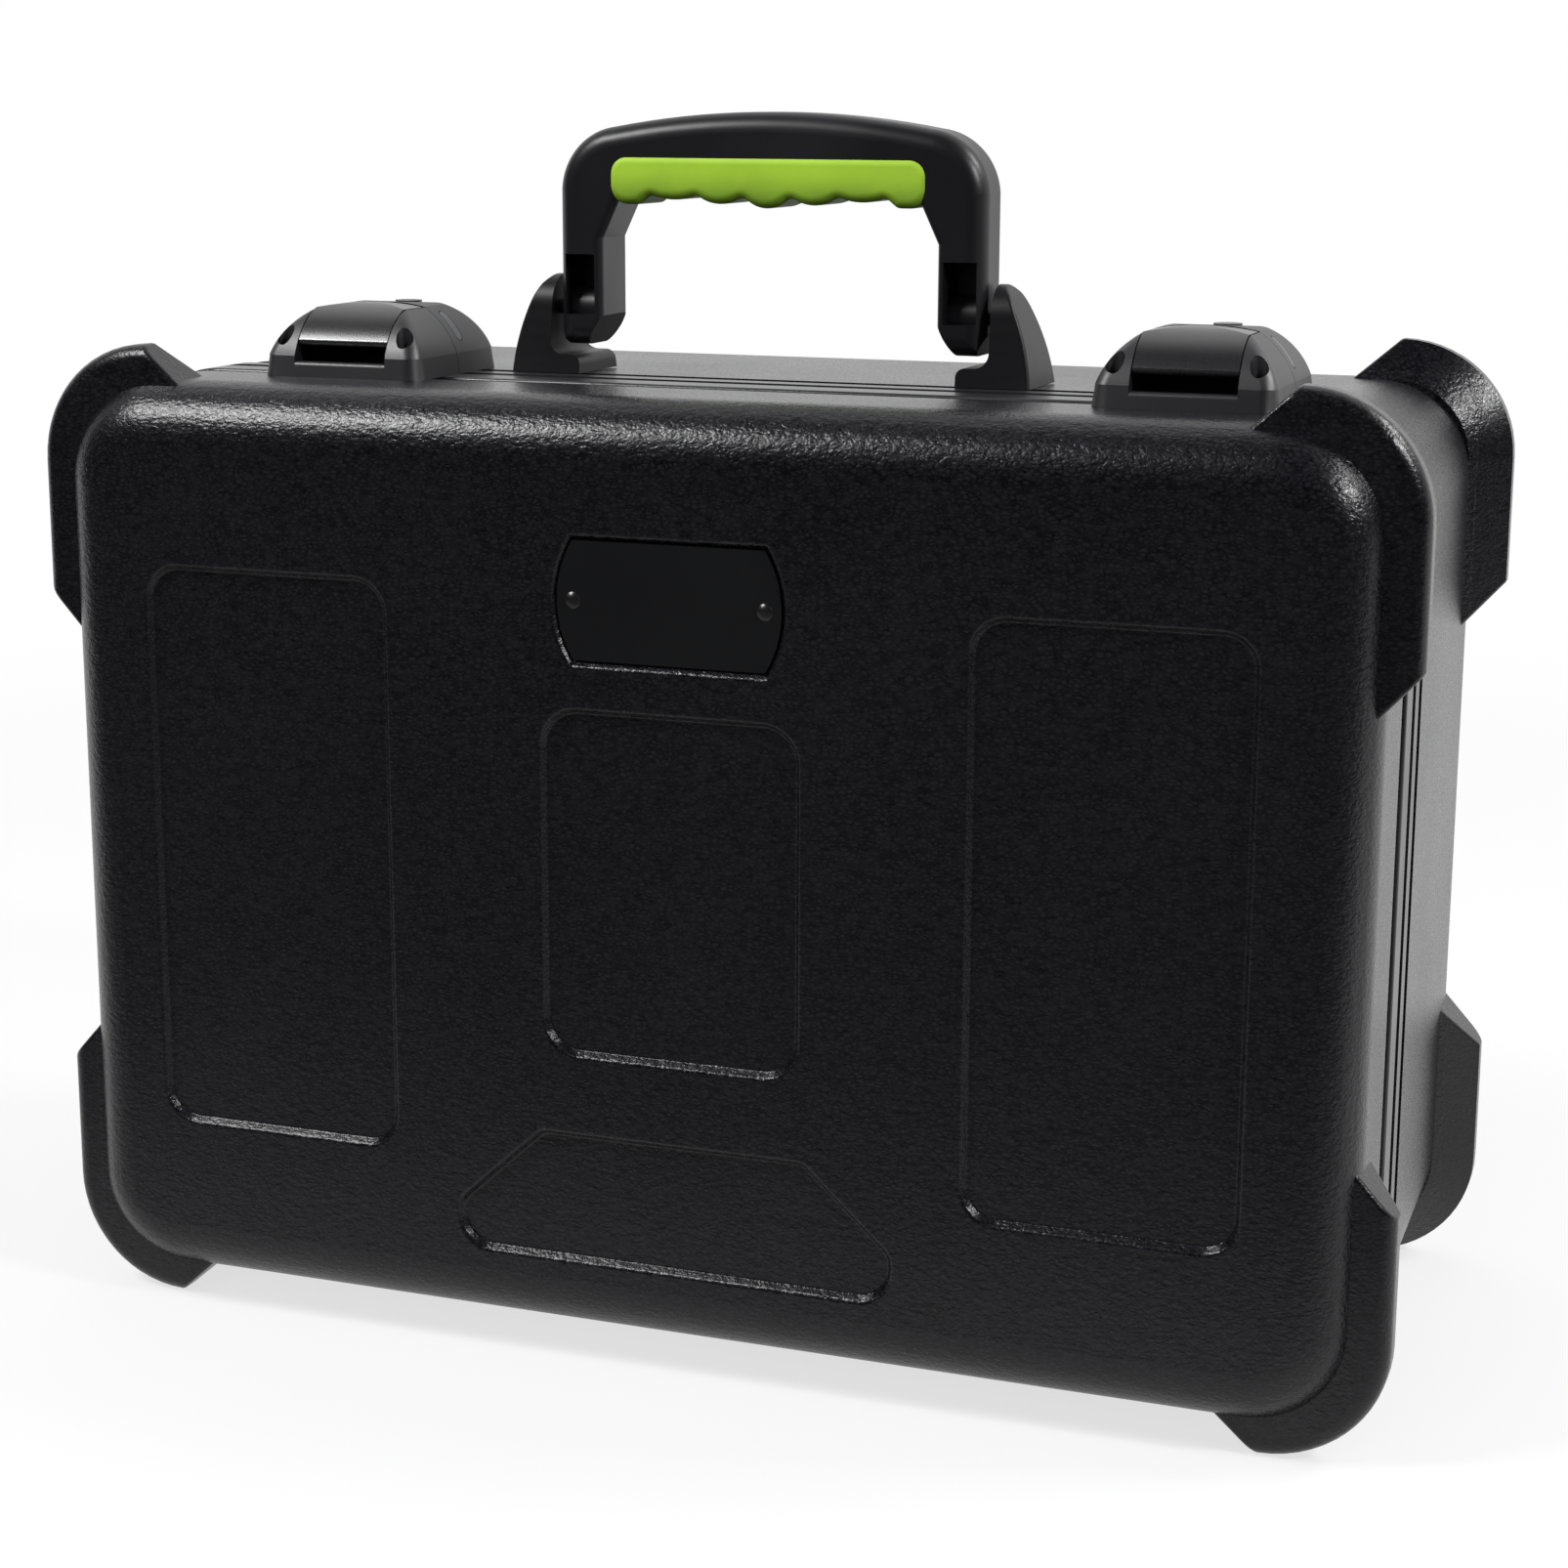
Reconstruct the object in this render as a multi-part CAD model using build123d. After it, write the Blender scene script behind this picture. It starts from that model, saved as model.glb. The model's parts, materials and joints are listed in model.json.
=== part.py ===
from build123d import *
from math import atan, degrees, radians, sqrt, tan
import os

# A moulded carrying case for microphones, standing on its hinge side. X runs along the
# width, Y is the depth from the lid's face to the back, and Z is up. All lengths are in
# millimetres and all angles in degrees. The sizes below are measured from the centre of
# the lid's face; every piece is moved as it is saved, so that the origin of the model is
# the centre of the case at floor level.

# ---- Overall sizes -------------------------------------------------------------------
SHELL_WIDTH = 444.4
SHELL_HEIGHT = 312.6
CASE_DEPTH = 225.0
SHELL_CORNER = 34.0
SHELL_WALL = 4.0
FACE_FILLET = 20.0
BASE_DRAFT = 1.1

# ---- Parting band --------------------------------------------------------------------
LID_EDGE = 49.0
LID_BEAD_FRONT = 59.0
PARTING = 71.0
PARTING_GAP = 0.4
BASE_EDGE = 90.0
RIB_FRONT = 77.0
RIB_REAR = 84.0
RIB_RELIEF = 1.5
VALANCE_CORNER = 30.0
VALANCE_BLOCK = 7.0
VALANCE_LEG = 2.0
LEG_REACH = 12.0
LEG_CLEARANCE = 0.4
BEAD_ROUND = 1.2
GASKET_WIDTH = 2.4
GASKET_GROOVE = 2.2
GASKET_SETBACK = 2.4
GASKET_CLEARANCE = 0.1

# ---- Corner bumpers ------------------------------------------------------------------
BUMPER_REACH = 11.3
BUMPER_CORNER = 40.0
BUMPER_FACE = 11.5
BUMPER_FLAT_END = 22.0
BUMPER_ROUND = 5.5
BUMPER_SLOPE_RUN = 9.2
BUMPER_SLOPE_EXTRA = 1.8
BUMPER_TOP_ROOT = 181.0
BUMPER_SIDE_ROOT = 72.0
BUMPER_END_RUN = 12.5
BUMPER_OVERCUT = 2.3
BUMPER_END_ROUND = 1.6
HAIR = 0.001

# ---- Lid face ------------------------------------------------------------------------
PANEL_DEPTH = 2.5
PANEL_SLOPE = 38.0
PANEL_RIM_ROUND = 1.6
PANEL_FLOOR_ROUND = 0.9
SIDE_PANEL_WIDTH = 89.6
SIDE_PANEL_HEIGHT = 194.7
SIDE_PANEL_OFFSET = 143.2
SIDE_PANEL_DROP = 0.75
SIDE_PANEL_CORNER = 12.0
CENTRE_PANEL_WIDTH = 89.2
CENTRE_PANEL_HEIGHT = 116.6
CENTRE_PANEL_CORNER = 13.0
FOOT_PANEL_TOP = -84.5
FOOT_PANEL_SHOULDER = -112.5
FOOT_PANEL_BOTTOM = -129.7
FOOT_PANEL_TOP_WIDTH = 92.0
FOOT_PANEL_WIDTH = 153.0
FOOT_PANEL_TOP_CORNER = 6.0
FOOT_PANEL_SHOULDER_CORNER = 8.0
FOOT_PANEL_BOTTOM_CORNER = 12.0

# ---- Badge ---------------------------------------------------------------------------
BADGE_HEIGHT = 38.5
BADGE_WIDTH = 76.0
BADGE_END_WIDTH = 65.0
BADGE_THICKNESS = 1.4
BADGE_CENTRE = 93.05
BADGE_MARGIN = 2.0
BADGE_RIVET_SPACING = 65.0
BADGE_RIVET_HEAD = 5.4
BADGE_RIVET_CROWN = 1.0
BADGE_RIVET_SHANK = 2.8

# ---- Handle --------------------------------------------------------------------------
HANDLE_WIDTH = 151.0
HANDLE_FRONT = 88.0
HANDLE_THICKNESS = 24.0
HANDLE_TOP = 87.7
HANDLE_SHOULDER_HEIGHT = 82.6
HANDLE_SHOULDER_X = 56.0
HANDLE_SIDE_HEIGHT = 62.0
HANDLE_CORNER_X = 70.6
HANDLE_CORNER_HEIGHT = 74.6
HANDLE_LEG_WIDTH = 16.1
HANDLE_GUSSET_BOTTOM = 45.7
HANDLE_GUSSET_X = 51.9
HANDLE_BAR_BOTTOM = 61.5
HANDLE_ROUND = 6.5
HANDLE_INNER_ROUND = 3.0
HANDLE_END_ROUND = 6.2
HANDLE_HEEL = 3.0
HANDLE_HEEL_HEIGHT = 6.6
HANDLE_PIVOT_HEIGHT = 21.7
HANDLE_END_CHAMFER = 6.0
HANDLE_END_CHAMFER_HEIGHT = 10.0
POCKET_WIDTH = 11.0
POCKET_INSET = 2.7
POCKET_BOTTOM = 19.9
POCKET_TOP = 40.2
POCKET_DEPTH = 17.0
SLEEVE_RADIUS = 7.0
HANDLE_SCREW_HEAD = 7.0
HANDLE_SCREW_SHANK = 3.2
HANDLE_SCREW_DEPTH = 3.0
HANDLE_SCREW_LENGTH = 16.0
HANDLE_SCREW_HEAD_HEIGHT = 1.8
HANDLE_SCREW_X = 65.0
HANDLE_SCREW_LOW = 48.0
HANDLE_SCREW_HIGH = 71.0

# ---- Handle grip ---------------------------------------------------------------------
GRIP_WIDTH = 112.6
GRIP_TOP = 73.6
GRIP_END_HEIGHT = 57.1
GRIP_CORE_INSET = 2.5
GRIP_PROUD = 0.7
GRIP_END_ROUND = 6.5
GRIP_EDGE_ROUND = 3.0
GRIP_LOBES = 5
GRIP_LOBE_DEPTH = 4.0
GRIP_LOBE_FADE = 1.2
GRIP_STEP = 4.0
GRIP_END_RUN = 4.3
GRIP_CUSP_ROUND = 3.2
GRIP_VALLEY = 60.4

# ---- Handle brackets -----------------------------------------------------------------
BRACKET_CLEARANCE = 2.4
BRACKET_EAR_RADIUS = 11.3
BRACKET_BASE_FRONT = 86.0
BRACKET_BASE_REAR = 119.0
BRACKET_TOP_WIDTH = 5.4
BRACKET_TOP_HEIGHT = 29.8
BRACKET_TOP_ROUND = 3.0
BRACKET_BASE_WIDTH = 14.2
BRACKET_MID_WIDTH = 10.6
BRACKET_MID_HEIGHT = 18.0
BRACKET_FOOT_REACH = 11.0
BRACKET_FOOT_HEIGHT = 6.2
BRACKET_FOOT_ROUND = 3.0
BRACKET_CRADLE_ROUND = 5.0
BRACKET_EDGE_ROUND = 1.2
HANDLE_PIN = 5.0
HANDLE_PIN_CLEARANCE = 0.05
HANDLE_PIN_WALL = 2.0
HANDLE_PIN_END_GAP = 0.3
BRACKET_SCREW_SHANK = 4.0
BRACKET_SCREW_HEAD = 8.0
BRACKET_SCREW_HEAD_HEIGHT = 2.2
BRACKET_SCREW_BITE = 5.0
BRACKET_SCREW_PITCH = 13.0
BRACKET_SCREW_SHIFT = 1.5
BRACKET_SCREW_DEPTH = 110.0

# ---- Latches -------------------------------------------------------------------------
LATCH_LEFT_GAP = 12.4
LATCH_RIGHT_GAP = 31.4
LATCH_WIDTH = 59.0
LATCH_FRONT = 39.0
LATCH_REAR = 103.0
LATCH_HEIGHT = 24.0
LATCH_TOP_WIDTH = 33.0
LATCH_TOP_EDGE = 22.3
LATCH_SHOULDER_WIDTH = 50.5
LATCH_SHOULDER_HEIGHT = 13.6
LATCH_FOOT = 2.0
LATCH_LEAN = 0.4
LATCH_BROW_RUN = 10.6
LATCH_BROW_HEIGHT = 19.2
LATCH_CROWN_SETBACK = 17.0
LATCH_CROWN_DROP = 1.2
LATCH_TAIL_SETBACK = 4.8
LATCH_TAIL_HEIGHT = 15.0
LATCH_SEAM = 0.3
LATCH_ROUND = 5.0
LATCH_CHEEK_SETBACK = 9.0
LATCH_FOOT_HEIGHT = 7.0
LATCH_FOOT_SPREAD = 8.5
SILL_ROUND = 1.6
SILL_HEIGHT = 5.2
SILL_THICKNESS = 3.5
WINDOW_WIDTH = 33.8
WINDOW_CLEARANCE = 0.4
FLOOR_HEIGHT = 1.4
LEVER_PIVOT_DEPTH = 64.5
LEVER_PIVOT_HEIGHT = 18.0
LEVER_THICKNESS = 2.6
LEVER_LIP_HEIGHT = 10.2
LEVER_LIP_ROUND = 1.5
LEVER_BARREL = 6.0
LEVER_PIN = 3.0
LEVER_PIN_CLEARANCE = 0.05
LEVER_PIN_BITE = 3.0
TONGUE_WIDTH = 16.0
TONGUE_THICKNESS = 2.4
TONGUE_END = 75.0
TONGUE_TOP = 11.2
TONGUE_CLEARANCE = 0.4
KEEPER_RADIUS = 2.0
KEEPER_DEPTH = 74.0
KEEPER_BITE = 3.0
KEEPER_ROOM = 1.0
LOCK_RADIUS = 4.6
LOCK_CLEARANCE = 0.05
LOCK_DEPTH = 84.0
LOCK_SHIFT = 4.0
LOCK_LENGTH = 11.0
LOCK_PROUD = 0.4
LOCK_SURFACE_DROP = 0.8
KEYWAY_LENGTH = 5.6
KEYWAY_WIDTH = 1.3
KEYWAY_DEPTH = 6.0
INSET_LENGTH = 12.0
INSET_WIDTH = 4.2
INSET_SHIFT = 23.5
INSET_DEPTH = 77.5
INSET_HEIGHT = 16.2
INSET_TILT = 42.0
INSET_THICKNESS = 2.0
INSET_CLEARANCE = 0.3
LATCH_SCREW_SHIFT = 22.3
LATCH_SCREW_DEPTH = 44.5
LATCH_SCREW_HOLE = 5.8
LATCH_SCREW_SHANK = 2.6
LATCH_SCREW_HEAD_HEIGHT = 2.4
LATCH_SCREW_SEAT = 4.0
LATCH_SCREW_CLEARANCE = 0.3

# ---- Hinges --------------------------------------------------------------------------
HINGE_SPACING = 240.0
HINGE_WIDTH = 60.0
HINGE_KNUCKLE = 7.0
HINGE_PIN = 3.6
HINGE_PIN_CLEARANCE = 0.05
HINGE_DROP = 1.7
HINGE_LEAF = 1.5
HINGE_KNUCKLES = 5
HINGE_END_GAP = 0.3
HINGE_RELIEF = 0.4
LID_LEAF_FRONT = 60.5
BASE_LEAF_REAR = 86.0
HINGE_RIVET_HEAD = 5.0
HINGE_RIVET_CROWN = 1.2
HINGE_RIVET_SHANK = 3.0
HINGE_RIVET_LENGTH = 4.0
HINGE_RIVET_PITCH = 22.0
HINGE_RIVETS = 3
LID_RIVET_SETBACK = 7.4
BASE_RIVET_SETBACK = 9.5

# ---- Foam ----------------------------------------------------------------------------
FOAM_CLEARANCE = 0.3
FOAM_WIDTH = 428.0
FOAM_HEIGHT = 294.0
FOAM_CORNER = 28.0
FOAM_TOP = 100.0
PAD_THICKNESS = 10.0
PAD_INSET = 6.0
PAD_ROUND = 9.0
DROP = 44.0
DROP_COLUMNS = 5
DROP_ROWS = 3
DROP_WEB = 18.0
LID_FOAM_TOP = 46.0
LID_FOAM_ROUND = 12.0

# ---- Worked-out sizes ----------------------------------------------------------------
TOP = SHELL_HEIGHT / 2
SIDE = SHELL_WIDTH / 2
FLOOR = TOP + BUMPER_REACH
LID_RIM = PARTING - PARTING_GAP / 2
BASE_RIM = PARTING + PARTING_GAP / 2
HANDLE_REAR = HANDLE_FRONT + HANDLE_THICKNESS
HANDLE_MIDDLE = HANDLE_FRONT + HANDLE_THICKNESS / 2
HANDLE_PIVOT = TOP + HANDLE_PIVOT_HEIGHT
HANDLE_SIDE = HANDLE_WIDTH / 2
LEG_INNER = HANDLE_SIDE - HANDLE_LEG_WIDTH
BRACKET_INNER = HANDLE_SIDE + BRACKET_CLEARANCE
HINGE_AXIS = -TOP - HINGE_DROP
BRACKET_OUTER = BRACKET_INNER + BRACKET_BASE_WIDTH
LATCH_CENTRES = {
    "left": -BRACKET_OUTER - LATCH_LEFT_GAP - LATCH_WIDTH / 2,
    "right": BRACKET_OUTER + LATCH_RIGHT_GAP + LATCH_WIDTH / 2,
}
SIDES = {"left": -1, "right": 1}
LEVER_PIVOT = TOP + LEVER_PIVOT_HEIGHT
KEEPER_HEIGHT = TOP + TONGUE_TOP + TONGUE_CLEARANCE + KEEPER_RADIUS
GRIP_LOBE_PITCH = (GRIP_WIDTH - 2 * (GRIP_END_ROUND + GRIP_END_RUN + GRIP_STEP)) / GRIP_LOBES
FOAM_FLOOR = CASE_DEPTH - SHELL_WALL - FOAM_CLEARANCE - PAD_THICKNESS
RAIL = (FOAM_HEIGHT - DROP_ROWS * DROP) / (DROP_ROWS + 1)
DROPS_END = -FOAM_WIDTH / 2 + DROP_COLUMNS * DROP + (DROP_COLUMNS + 1) * DROP_WEB


# ---- Building blocks -----------------------------------------------------------------
def prism(profile, front, rear):
    """Solid with an X-Z profile between two depths."""
    plane = Plane(origin=(0, rear, 0), x_dir=(1, 0, 0), z_dir=(0, -1, 0))
    return extrude(plane * profile, rear - front)


def narrowing(profile, front, rear, angle):
    """Solid with a symmetrical X-Z profile that shrinks towards the rear."""
    plane = Plane(origin=(0, front, 0), x_dir=(-1, 0, 0), z_dir=(0, 1, 0))
    return extrude(plane * profile, rear - front, taper=angle)


def beam(profile, left, right):
    """Solid with a Y-Z profile between two places along the width."""
    plane = Plane(origin=(left, 0, 0), x_dir=(0, 1, 0), z_dir=(1, 0, 0))
    return extrude(plane * profile, right - left)


def post(radius, x, depth, bottom, top):
    """Upright round bar."""
    return extrude(Plane(origin=(x, depth, bottom)) * Circle(radius), top - bottom)


def rod(radius, depth, height, left, right):
    """Round bar along the width."""
    return beam(Pos(depth, height) * Circle(radius), left, right)


def block(left, right, front, rear, bottom, top):
    """Box between six faces."""
    profile = Pos((left + right) / 2, (bottom + top) / 2) * Rectangle(right - left, top - bottom)
    return prism(profile, front, rear)


def outline(grow, corner):
    """Rounded outline of the case, grown outwards or shrunk by a distance."""
    return RectangleRounded(SHELL_WIDTH + 2 * grow, SHELL_HEIGHT + 2 * grow, corner + grow)


def ring(outer, inner, corner, front, rear):
    """Band that follows the outline of the case between two insets."""
    return prism(outline(-outer, corner) - outline(-inner, corner), front, rear)


def front_edges(body):
    return body.faces().sort_by(Axis.Y)[0].edges()


def rear_edges(body):
    return body.faces().sort_by(Axis.Y)[-1].edges()


def save(name, shape):
    """Move a piece from the lid-face origin to the floor origin and write it."""
    placed = Pos(0, -CASE_DEPTH / 2, FLOOR) * shape
    export_step(placed, "parts/" + name + ".step")


# ---- Corner bumpers ------------------------------------------------------------------
def corner_wedge(side, level):
    """Plan of one bumper, whose two ends are cut back at a slant."""
    reach = BUMPER_REACH + BUMPER_OVERCUT
    run = BUMPER_END_RUN * reach / BUMPER_REACH
    points = [
        (BUMPER_TOP_ROOT - run, TOP - reach),
        (BUMPER_TOP_ROOT + run, TOP + reach),
        (SIDE + reach, TOP + reach),
        (SIDE + reach, BUMPER_SIDE_ROOT + run),
        (SIDE - reach, BUMPER_SIDE_ROOT - run),
    ]
    placed = [(side * x, level * z) for x, z in points]
    if side * level > 0:
        placed.reverse()
    return Polygon(*placed, align=None)


def bumpers():
    """Four corner bumpers with a rounded ridge at the front and a slope behind it."""
    plan = RectangleRounded(
        SHELL_WIDTH + 2 * BUMPER_REACH, SHELL_HEIGHT + 2 * BUMPER_REACH, BUMPER_CORNER
    )
    ridge = prism(plan, BUMPER_FACE, BUMPER_FLAT_END)
    ridge = fillet(front_edges(ridge), BUMPER_ROUND)
    slope_angle = degrees(atan(BUMPER_REACH / BUMPER_SLOPE_RUN))
    slope_end = BUMPER_FLAT_END + BUMPER_SLOPE_RUN + BUMPER_SLOPE_EXTRA
    slope = narrowing(plan, BUMPER_FLAT_END, slope_end, slope_angle)
    wedges = [
        prism(corner_wedge(side, level), BUMPER_FACE, slope_end)
        for side in (-1, 1)
        for level in (-1, 1)
    ]
    body = (ridge + slope) & (Part() + wedges)
    ends = [face for face in body.faces().filter_by(GeomType.PLANE) if is_slanted(face.normal_at())]
    rims = [edge for face in ends for edge in face.edges() if is_outside(edge.center())]
    return fillet(rims, BUMPER_END_ROUND)


def is_slanted(normal):
    """True for a wall that faces neither straight up nor straight to the side."""
    return min(abs(normal.X), abs(normal.Z)) > HAIR and abs(normal.Y) < HAIR


def is_outside(place):
    """True for a place that stands clear of the shell's four walls."""
    return abs(place.X) > SIDE + BUMPER_OVERCUT / 2 or abs(place.Z) > TOP + BUMPER_OVERCUT / 2


# ---- Shells --------------------------------------------------------------------------
def badge_outline():
    """Plate with flat ends at top and bottom and bowed sides."""
    half_end = BADGE_END_WIDTH / 2
    half_height = BADGE_HEIGHT / 2
    half_width = BADGE_WIDTH / 2
    edges = [
        Line((-half_end, -half_height), (half_end, -half_height)),
        ThreePointArc((half_end, -half_height), (half_width, 0), (half_end, half_height)),
        Line((half_end, half_height), (-half_end, half_height)),
        ThreePointArc((-half_end, half_height), (-half_width, 0), (-half_end, -half_height)),
    ]
    return Pos(0, BADGE_CENTRE) * make_face(edges)


def foot_panel():
    """Six-sided panel below the middle of the lid's face, with rounded corners."""
    top_x = FOOT_PANEL_TOP_WIDTH / 2
    side_x = FOOT_PANEL_WIDTH / 2
    panel = Polygon(
        (-side_x, FOOT_PANEL_BOTTOM),
        (side_x, FOOT_PANEL_BOTTOM),
        (side_x, FOOT_PANEL_SHOULDER),
        (top_x, FOOT_PANEL_TOP),
        (-top_x, FOOT_PANEL_TOP),
        (-side_x, FOOT_PANEL_SHOULDER),
        align=None,
    )
    radii = [FOOT_PANEL_BOTTOM_CORNER, FOOT_PANEL_SHOULDER_CORNER, FOOT_PANEL_TOP_CORNER]
    for level, radius in enumerate(radii):
        corners = panel.vertices().group_by(Axis.Y)
        heights = [FOOT_PANEL_BOTTOM, FOOT_PANEL_SHOULDER, FOOT_PANEL_TOP]
        pair = [v for group in corners for v in group if abs(v.Y - heights[level]) < HAIR]
        panel = fillet([v for v in pair if is_sharp(v, level)], radius)
    return panel


def is_sharp(vertex, level):
    """True for a corner of the foot panel that is not yet rounded."""
    half_widths = [FOOT_PANEL_WIDTH / 2, FOOT_PANEL_WIDTH / 2, FOOT_PANEL_TOP_WIDTH / 2]
    return abs(abs(vertex.X) - half_widths[level]) < HAIR


def face_panels():
    """Outlines of the sunk panels of the lid's face."""
    side_panel = RectangleRounded(SIDE_PANEL_WIDTH, SIDE_PANEL_HEIGHT, SIDE_PANEL_CORNER)
    return [
        Pos(-SIDE_PANEL_OFFSET, -SIDE_PANEL_DROP) * side_panel,
        Pos(SIDE_PANEL_OFFSET, -SIDE_PANEL_DROP) * side_panel,
        RectangleRounded(CENTRE_PANEL_WIDTH, CENTRE_PANEL_HEIGHT, CENTRE_PANEL_CORNER),
        foot_panel(),
        offset(badge_outline(), BADGE_MARGIN, kind=Kind.ARC),
    ]


def hinge_relief():
    """Clearance in the metal bands around the hinge knuckles."""
    radius = HINGE_KNUCKLE / 2 + HINGE_RELIEF
    half = HINGE_WIDTH / 2 + HINGE_END_GAP
    return Part() + [
        rod(radius, PARTING, HINGE_AXIS, side * HINGE_SPACING / 2 - half, side * HINGE_SPACING / 2 + half)
        for side in SIDES.values()
    ]


def lid_shell():
    outer = prism(outline(0, SHELL_CORNER), 0, LID_EDGE)
    outer = fillet(front_edges(outer), FACE_FILLET)
    outer = outer + bumpers()
    cavity = prism(outline(-SHELL_WALL, SHELL_CORNER), SHELL_WALL, LID_EDGE)
    cavity = fillet(front_edges(cavity), FACE_FILLET - SHELL_WALL)
    shell = outer - cavity
    for panel in face_panels():
        shell = shell + prism(offset(panel, SHELL_WALL), SHELL_WALL / 2, SHELL_WALL + PANEL_DEPTH)
    for panel in face_panels():
        shell = shell - narrowing(panel, 0, PANEL_DEPTH, PANEL_SLOPE)
    face = max(shell.faces(), key=lambda face: len(face.inner_wires()))
    shell = fillet([edge for wire in face.inner_wires() for edge in wire.edges()], PANEL_RIM_ROUND)
    floors = [face for face in shell.faces() if is_panel_floor(face.center())]
    shell = fillet([edge for floor in floors for edge in floor.outer_wire().edges()], PANEL_FLOOR_ROUND)
    return shell - badge_rivet_shanks() - latch_screw_shanks()


def is_panel_floor(place):
    """True for the middle of a sunk floor, except the one the badge plate fills."""
    return abs(place.Y - PANEL_DEPTH) < HAIR and abs(place.Z - BADGE_CENTRE) > BADGE_MARGIN


def base_shell():
    outer = narrowing(outline(0, SHELL_CORNER), BASE_EDGE, CASE_DEPTH, BASE_DRAFT)
    outer = fillet(rear_edges(outer), FACE_FILLET)
    rear_bumpers = Pos(0, CASE_DEPTH, 0) * mirror(bumpers(), Plane.XZ)
    outer = outer + rear_bumpers
    cavity = narrowing(
        outline(-SHELL_WALL, SHELL_CORNER), BASE_EDGE, CASE_DEPTH - SHELL_WALL, BASE_DRAFT
    )
    cavity = fillet(rear_edges(cavity), FACE_FILLET - SHELL_WALL)
    return outer - cavity - bracket_screw_shanks()


# ---- Parting band --------------------------------------------------------------------
def lid_valance():
    """Metal band of the lid: a bead that shows and a leg inside the shell."""
    bead = prism(outline(0, VALANCE_CORNER), LID_BEAD_FRONT, LID_RIM)
    bead = fillet(bead.faces().sort_by(Axis.Y)[0].edges(), BEAD_ROUND)
    bead = bead - prism(outline(-VALANCE_BLOCK, SHELL_CORNER), LID_BEAD_FRONT, LID_RIM)
    leg = ring(
        SHELL_WALL, SHELL_WALL + VALANCE_LEG, SHELL_CORNER, LID_EDGE - LEG_REACH, LID_BEAD_FRONT
    )
    return bead + leg - hinge_relief() - hinge_rivet_shanks("lid")


def base_valance():
    """Metal band of the base: a rim, a raised rib and a leg inside the shell."""
    rim = prism(outline(-RIB_RELIEF, VALANCE_CORNER), BASE_RIM, BASE_EDGE)
    rib = prism(outline(0, VALANCE_CORNER), RIB_FRONT, RIB_REAR)
    body = rim + rib - prism(outline(-VALANCE_BLOCK, SHELL_CORNER), BASE_RIM, BASE_EDGE)
    inset = SHELL_WALL + LEG_CLEARANCE
    leg = ring(inset, inset + VALANCE_LEG, SHELL_CORNER, BASE_EDGE, BASE_EDGE + LEG_REACH)
    groove = ring(
        GASKET_SETBACK, GASKET_SETBACK + GASKET_WIDTH, SHELL_CORNER, BASE_RIM, BASE_RIM + GASKET_GROOVE
    )
    return body + leg - groove - hinge_relief() - hinge_rivet_shanks("base")


def gasket():
    """Rubber seal in the groove of the base's band, just short of the lid's rim."""
    return ring(
        GASKET_SETBACK + GASKET_CLEARANCE,
        GASKET_SETBACK + GASKET_WIDTH - GASKET_CLEARANCE,
        SHELL_CORNER,
        BASE_RIM,
        BASE_RIM + GASKET_GROOVE,
    )


# ---- Badge ---------------------------------------------------------------------------
def badge_rivet_shanks():
    radius = BADGE_RIVET_SHANK / 2
    front = PANEL_DEPTH - BADGE_THICKNESS
    return Part() + [
        prism(Pos(side * BADGE_RIVET_SPACING / 2, BADGE_CENTRE) * Circle(radius), front,
              SHELL_WALL + PANEL_DEPTH)
        for side in SIDES.values()
    ]


def badge_plate():
    plate = prism(badge_outline(), PANEL_DEPTH - BADGE_THICKNESS, PANEL_DEPTH)
    return plate - badge_rivet_shanks()


def badge_rivets():
    """Two domed rivets through the ends of the badge plate."""
    crown = dome(BADGE_RIVET_HEAD / 2, BADGE_RIVET_CROWN)
    front = PANEL_DEPTH - BADGE_THICKNESS
    heads = [
        Pos(side * BADGE_RIVET_SPACING / 2, front, BADGE_CENTRE) * Rot(90, 0, 0) * crown
        for side in SIDES.values()
    ]
    return badge_rivet_shanks() + heads


def dome(radius, height):
    """Low domed head that stands on the X-Y plane."""
    ball = (radius ** 2 + height ** 2) / (2 * height)
    cap = Cylinder(radius, height, align=(Align.CENTER, Align.CENTER, Align.MIN))
    return cap & (Pos(0, 0, height - ball) * Sphere(ball))


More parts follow.
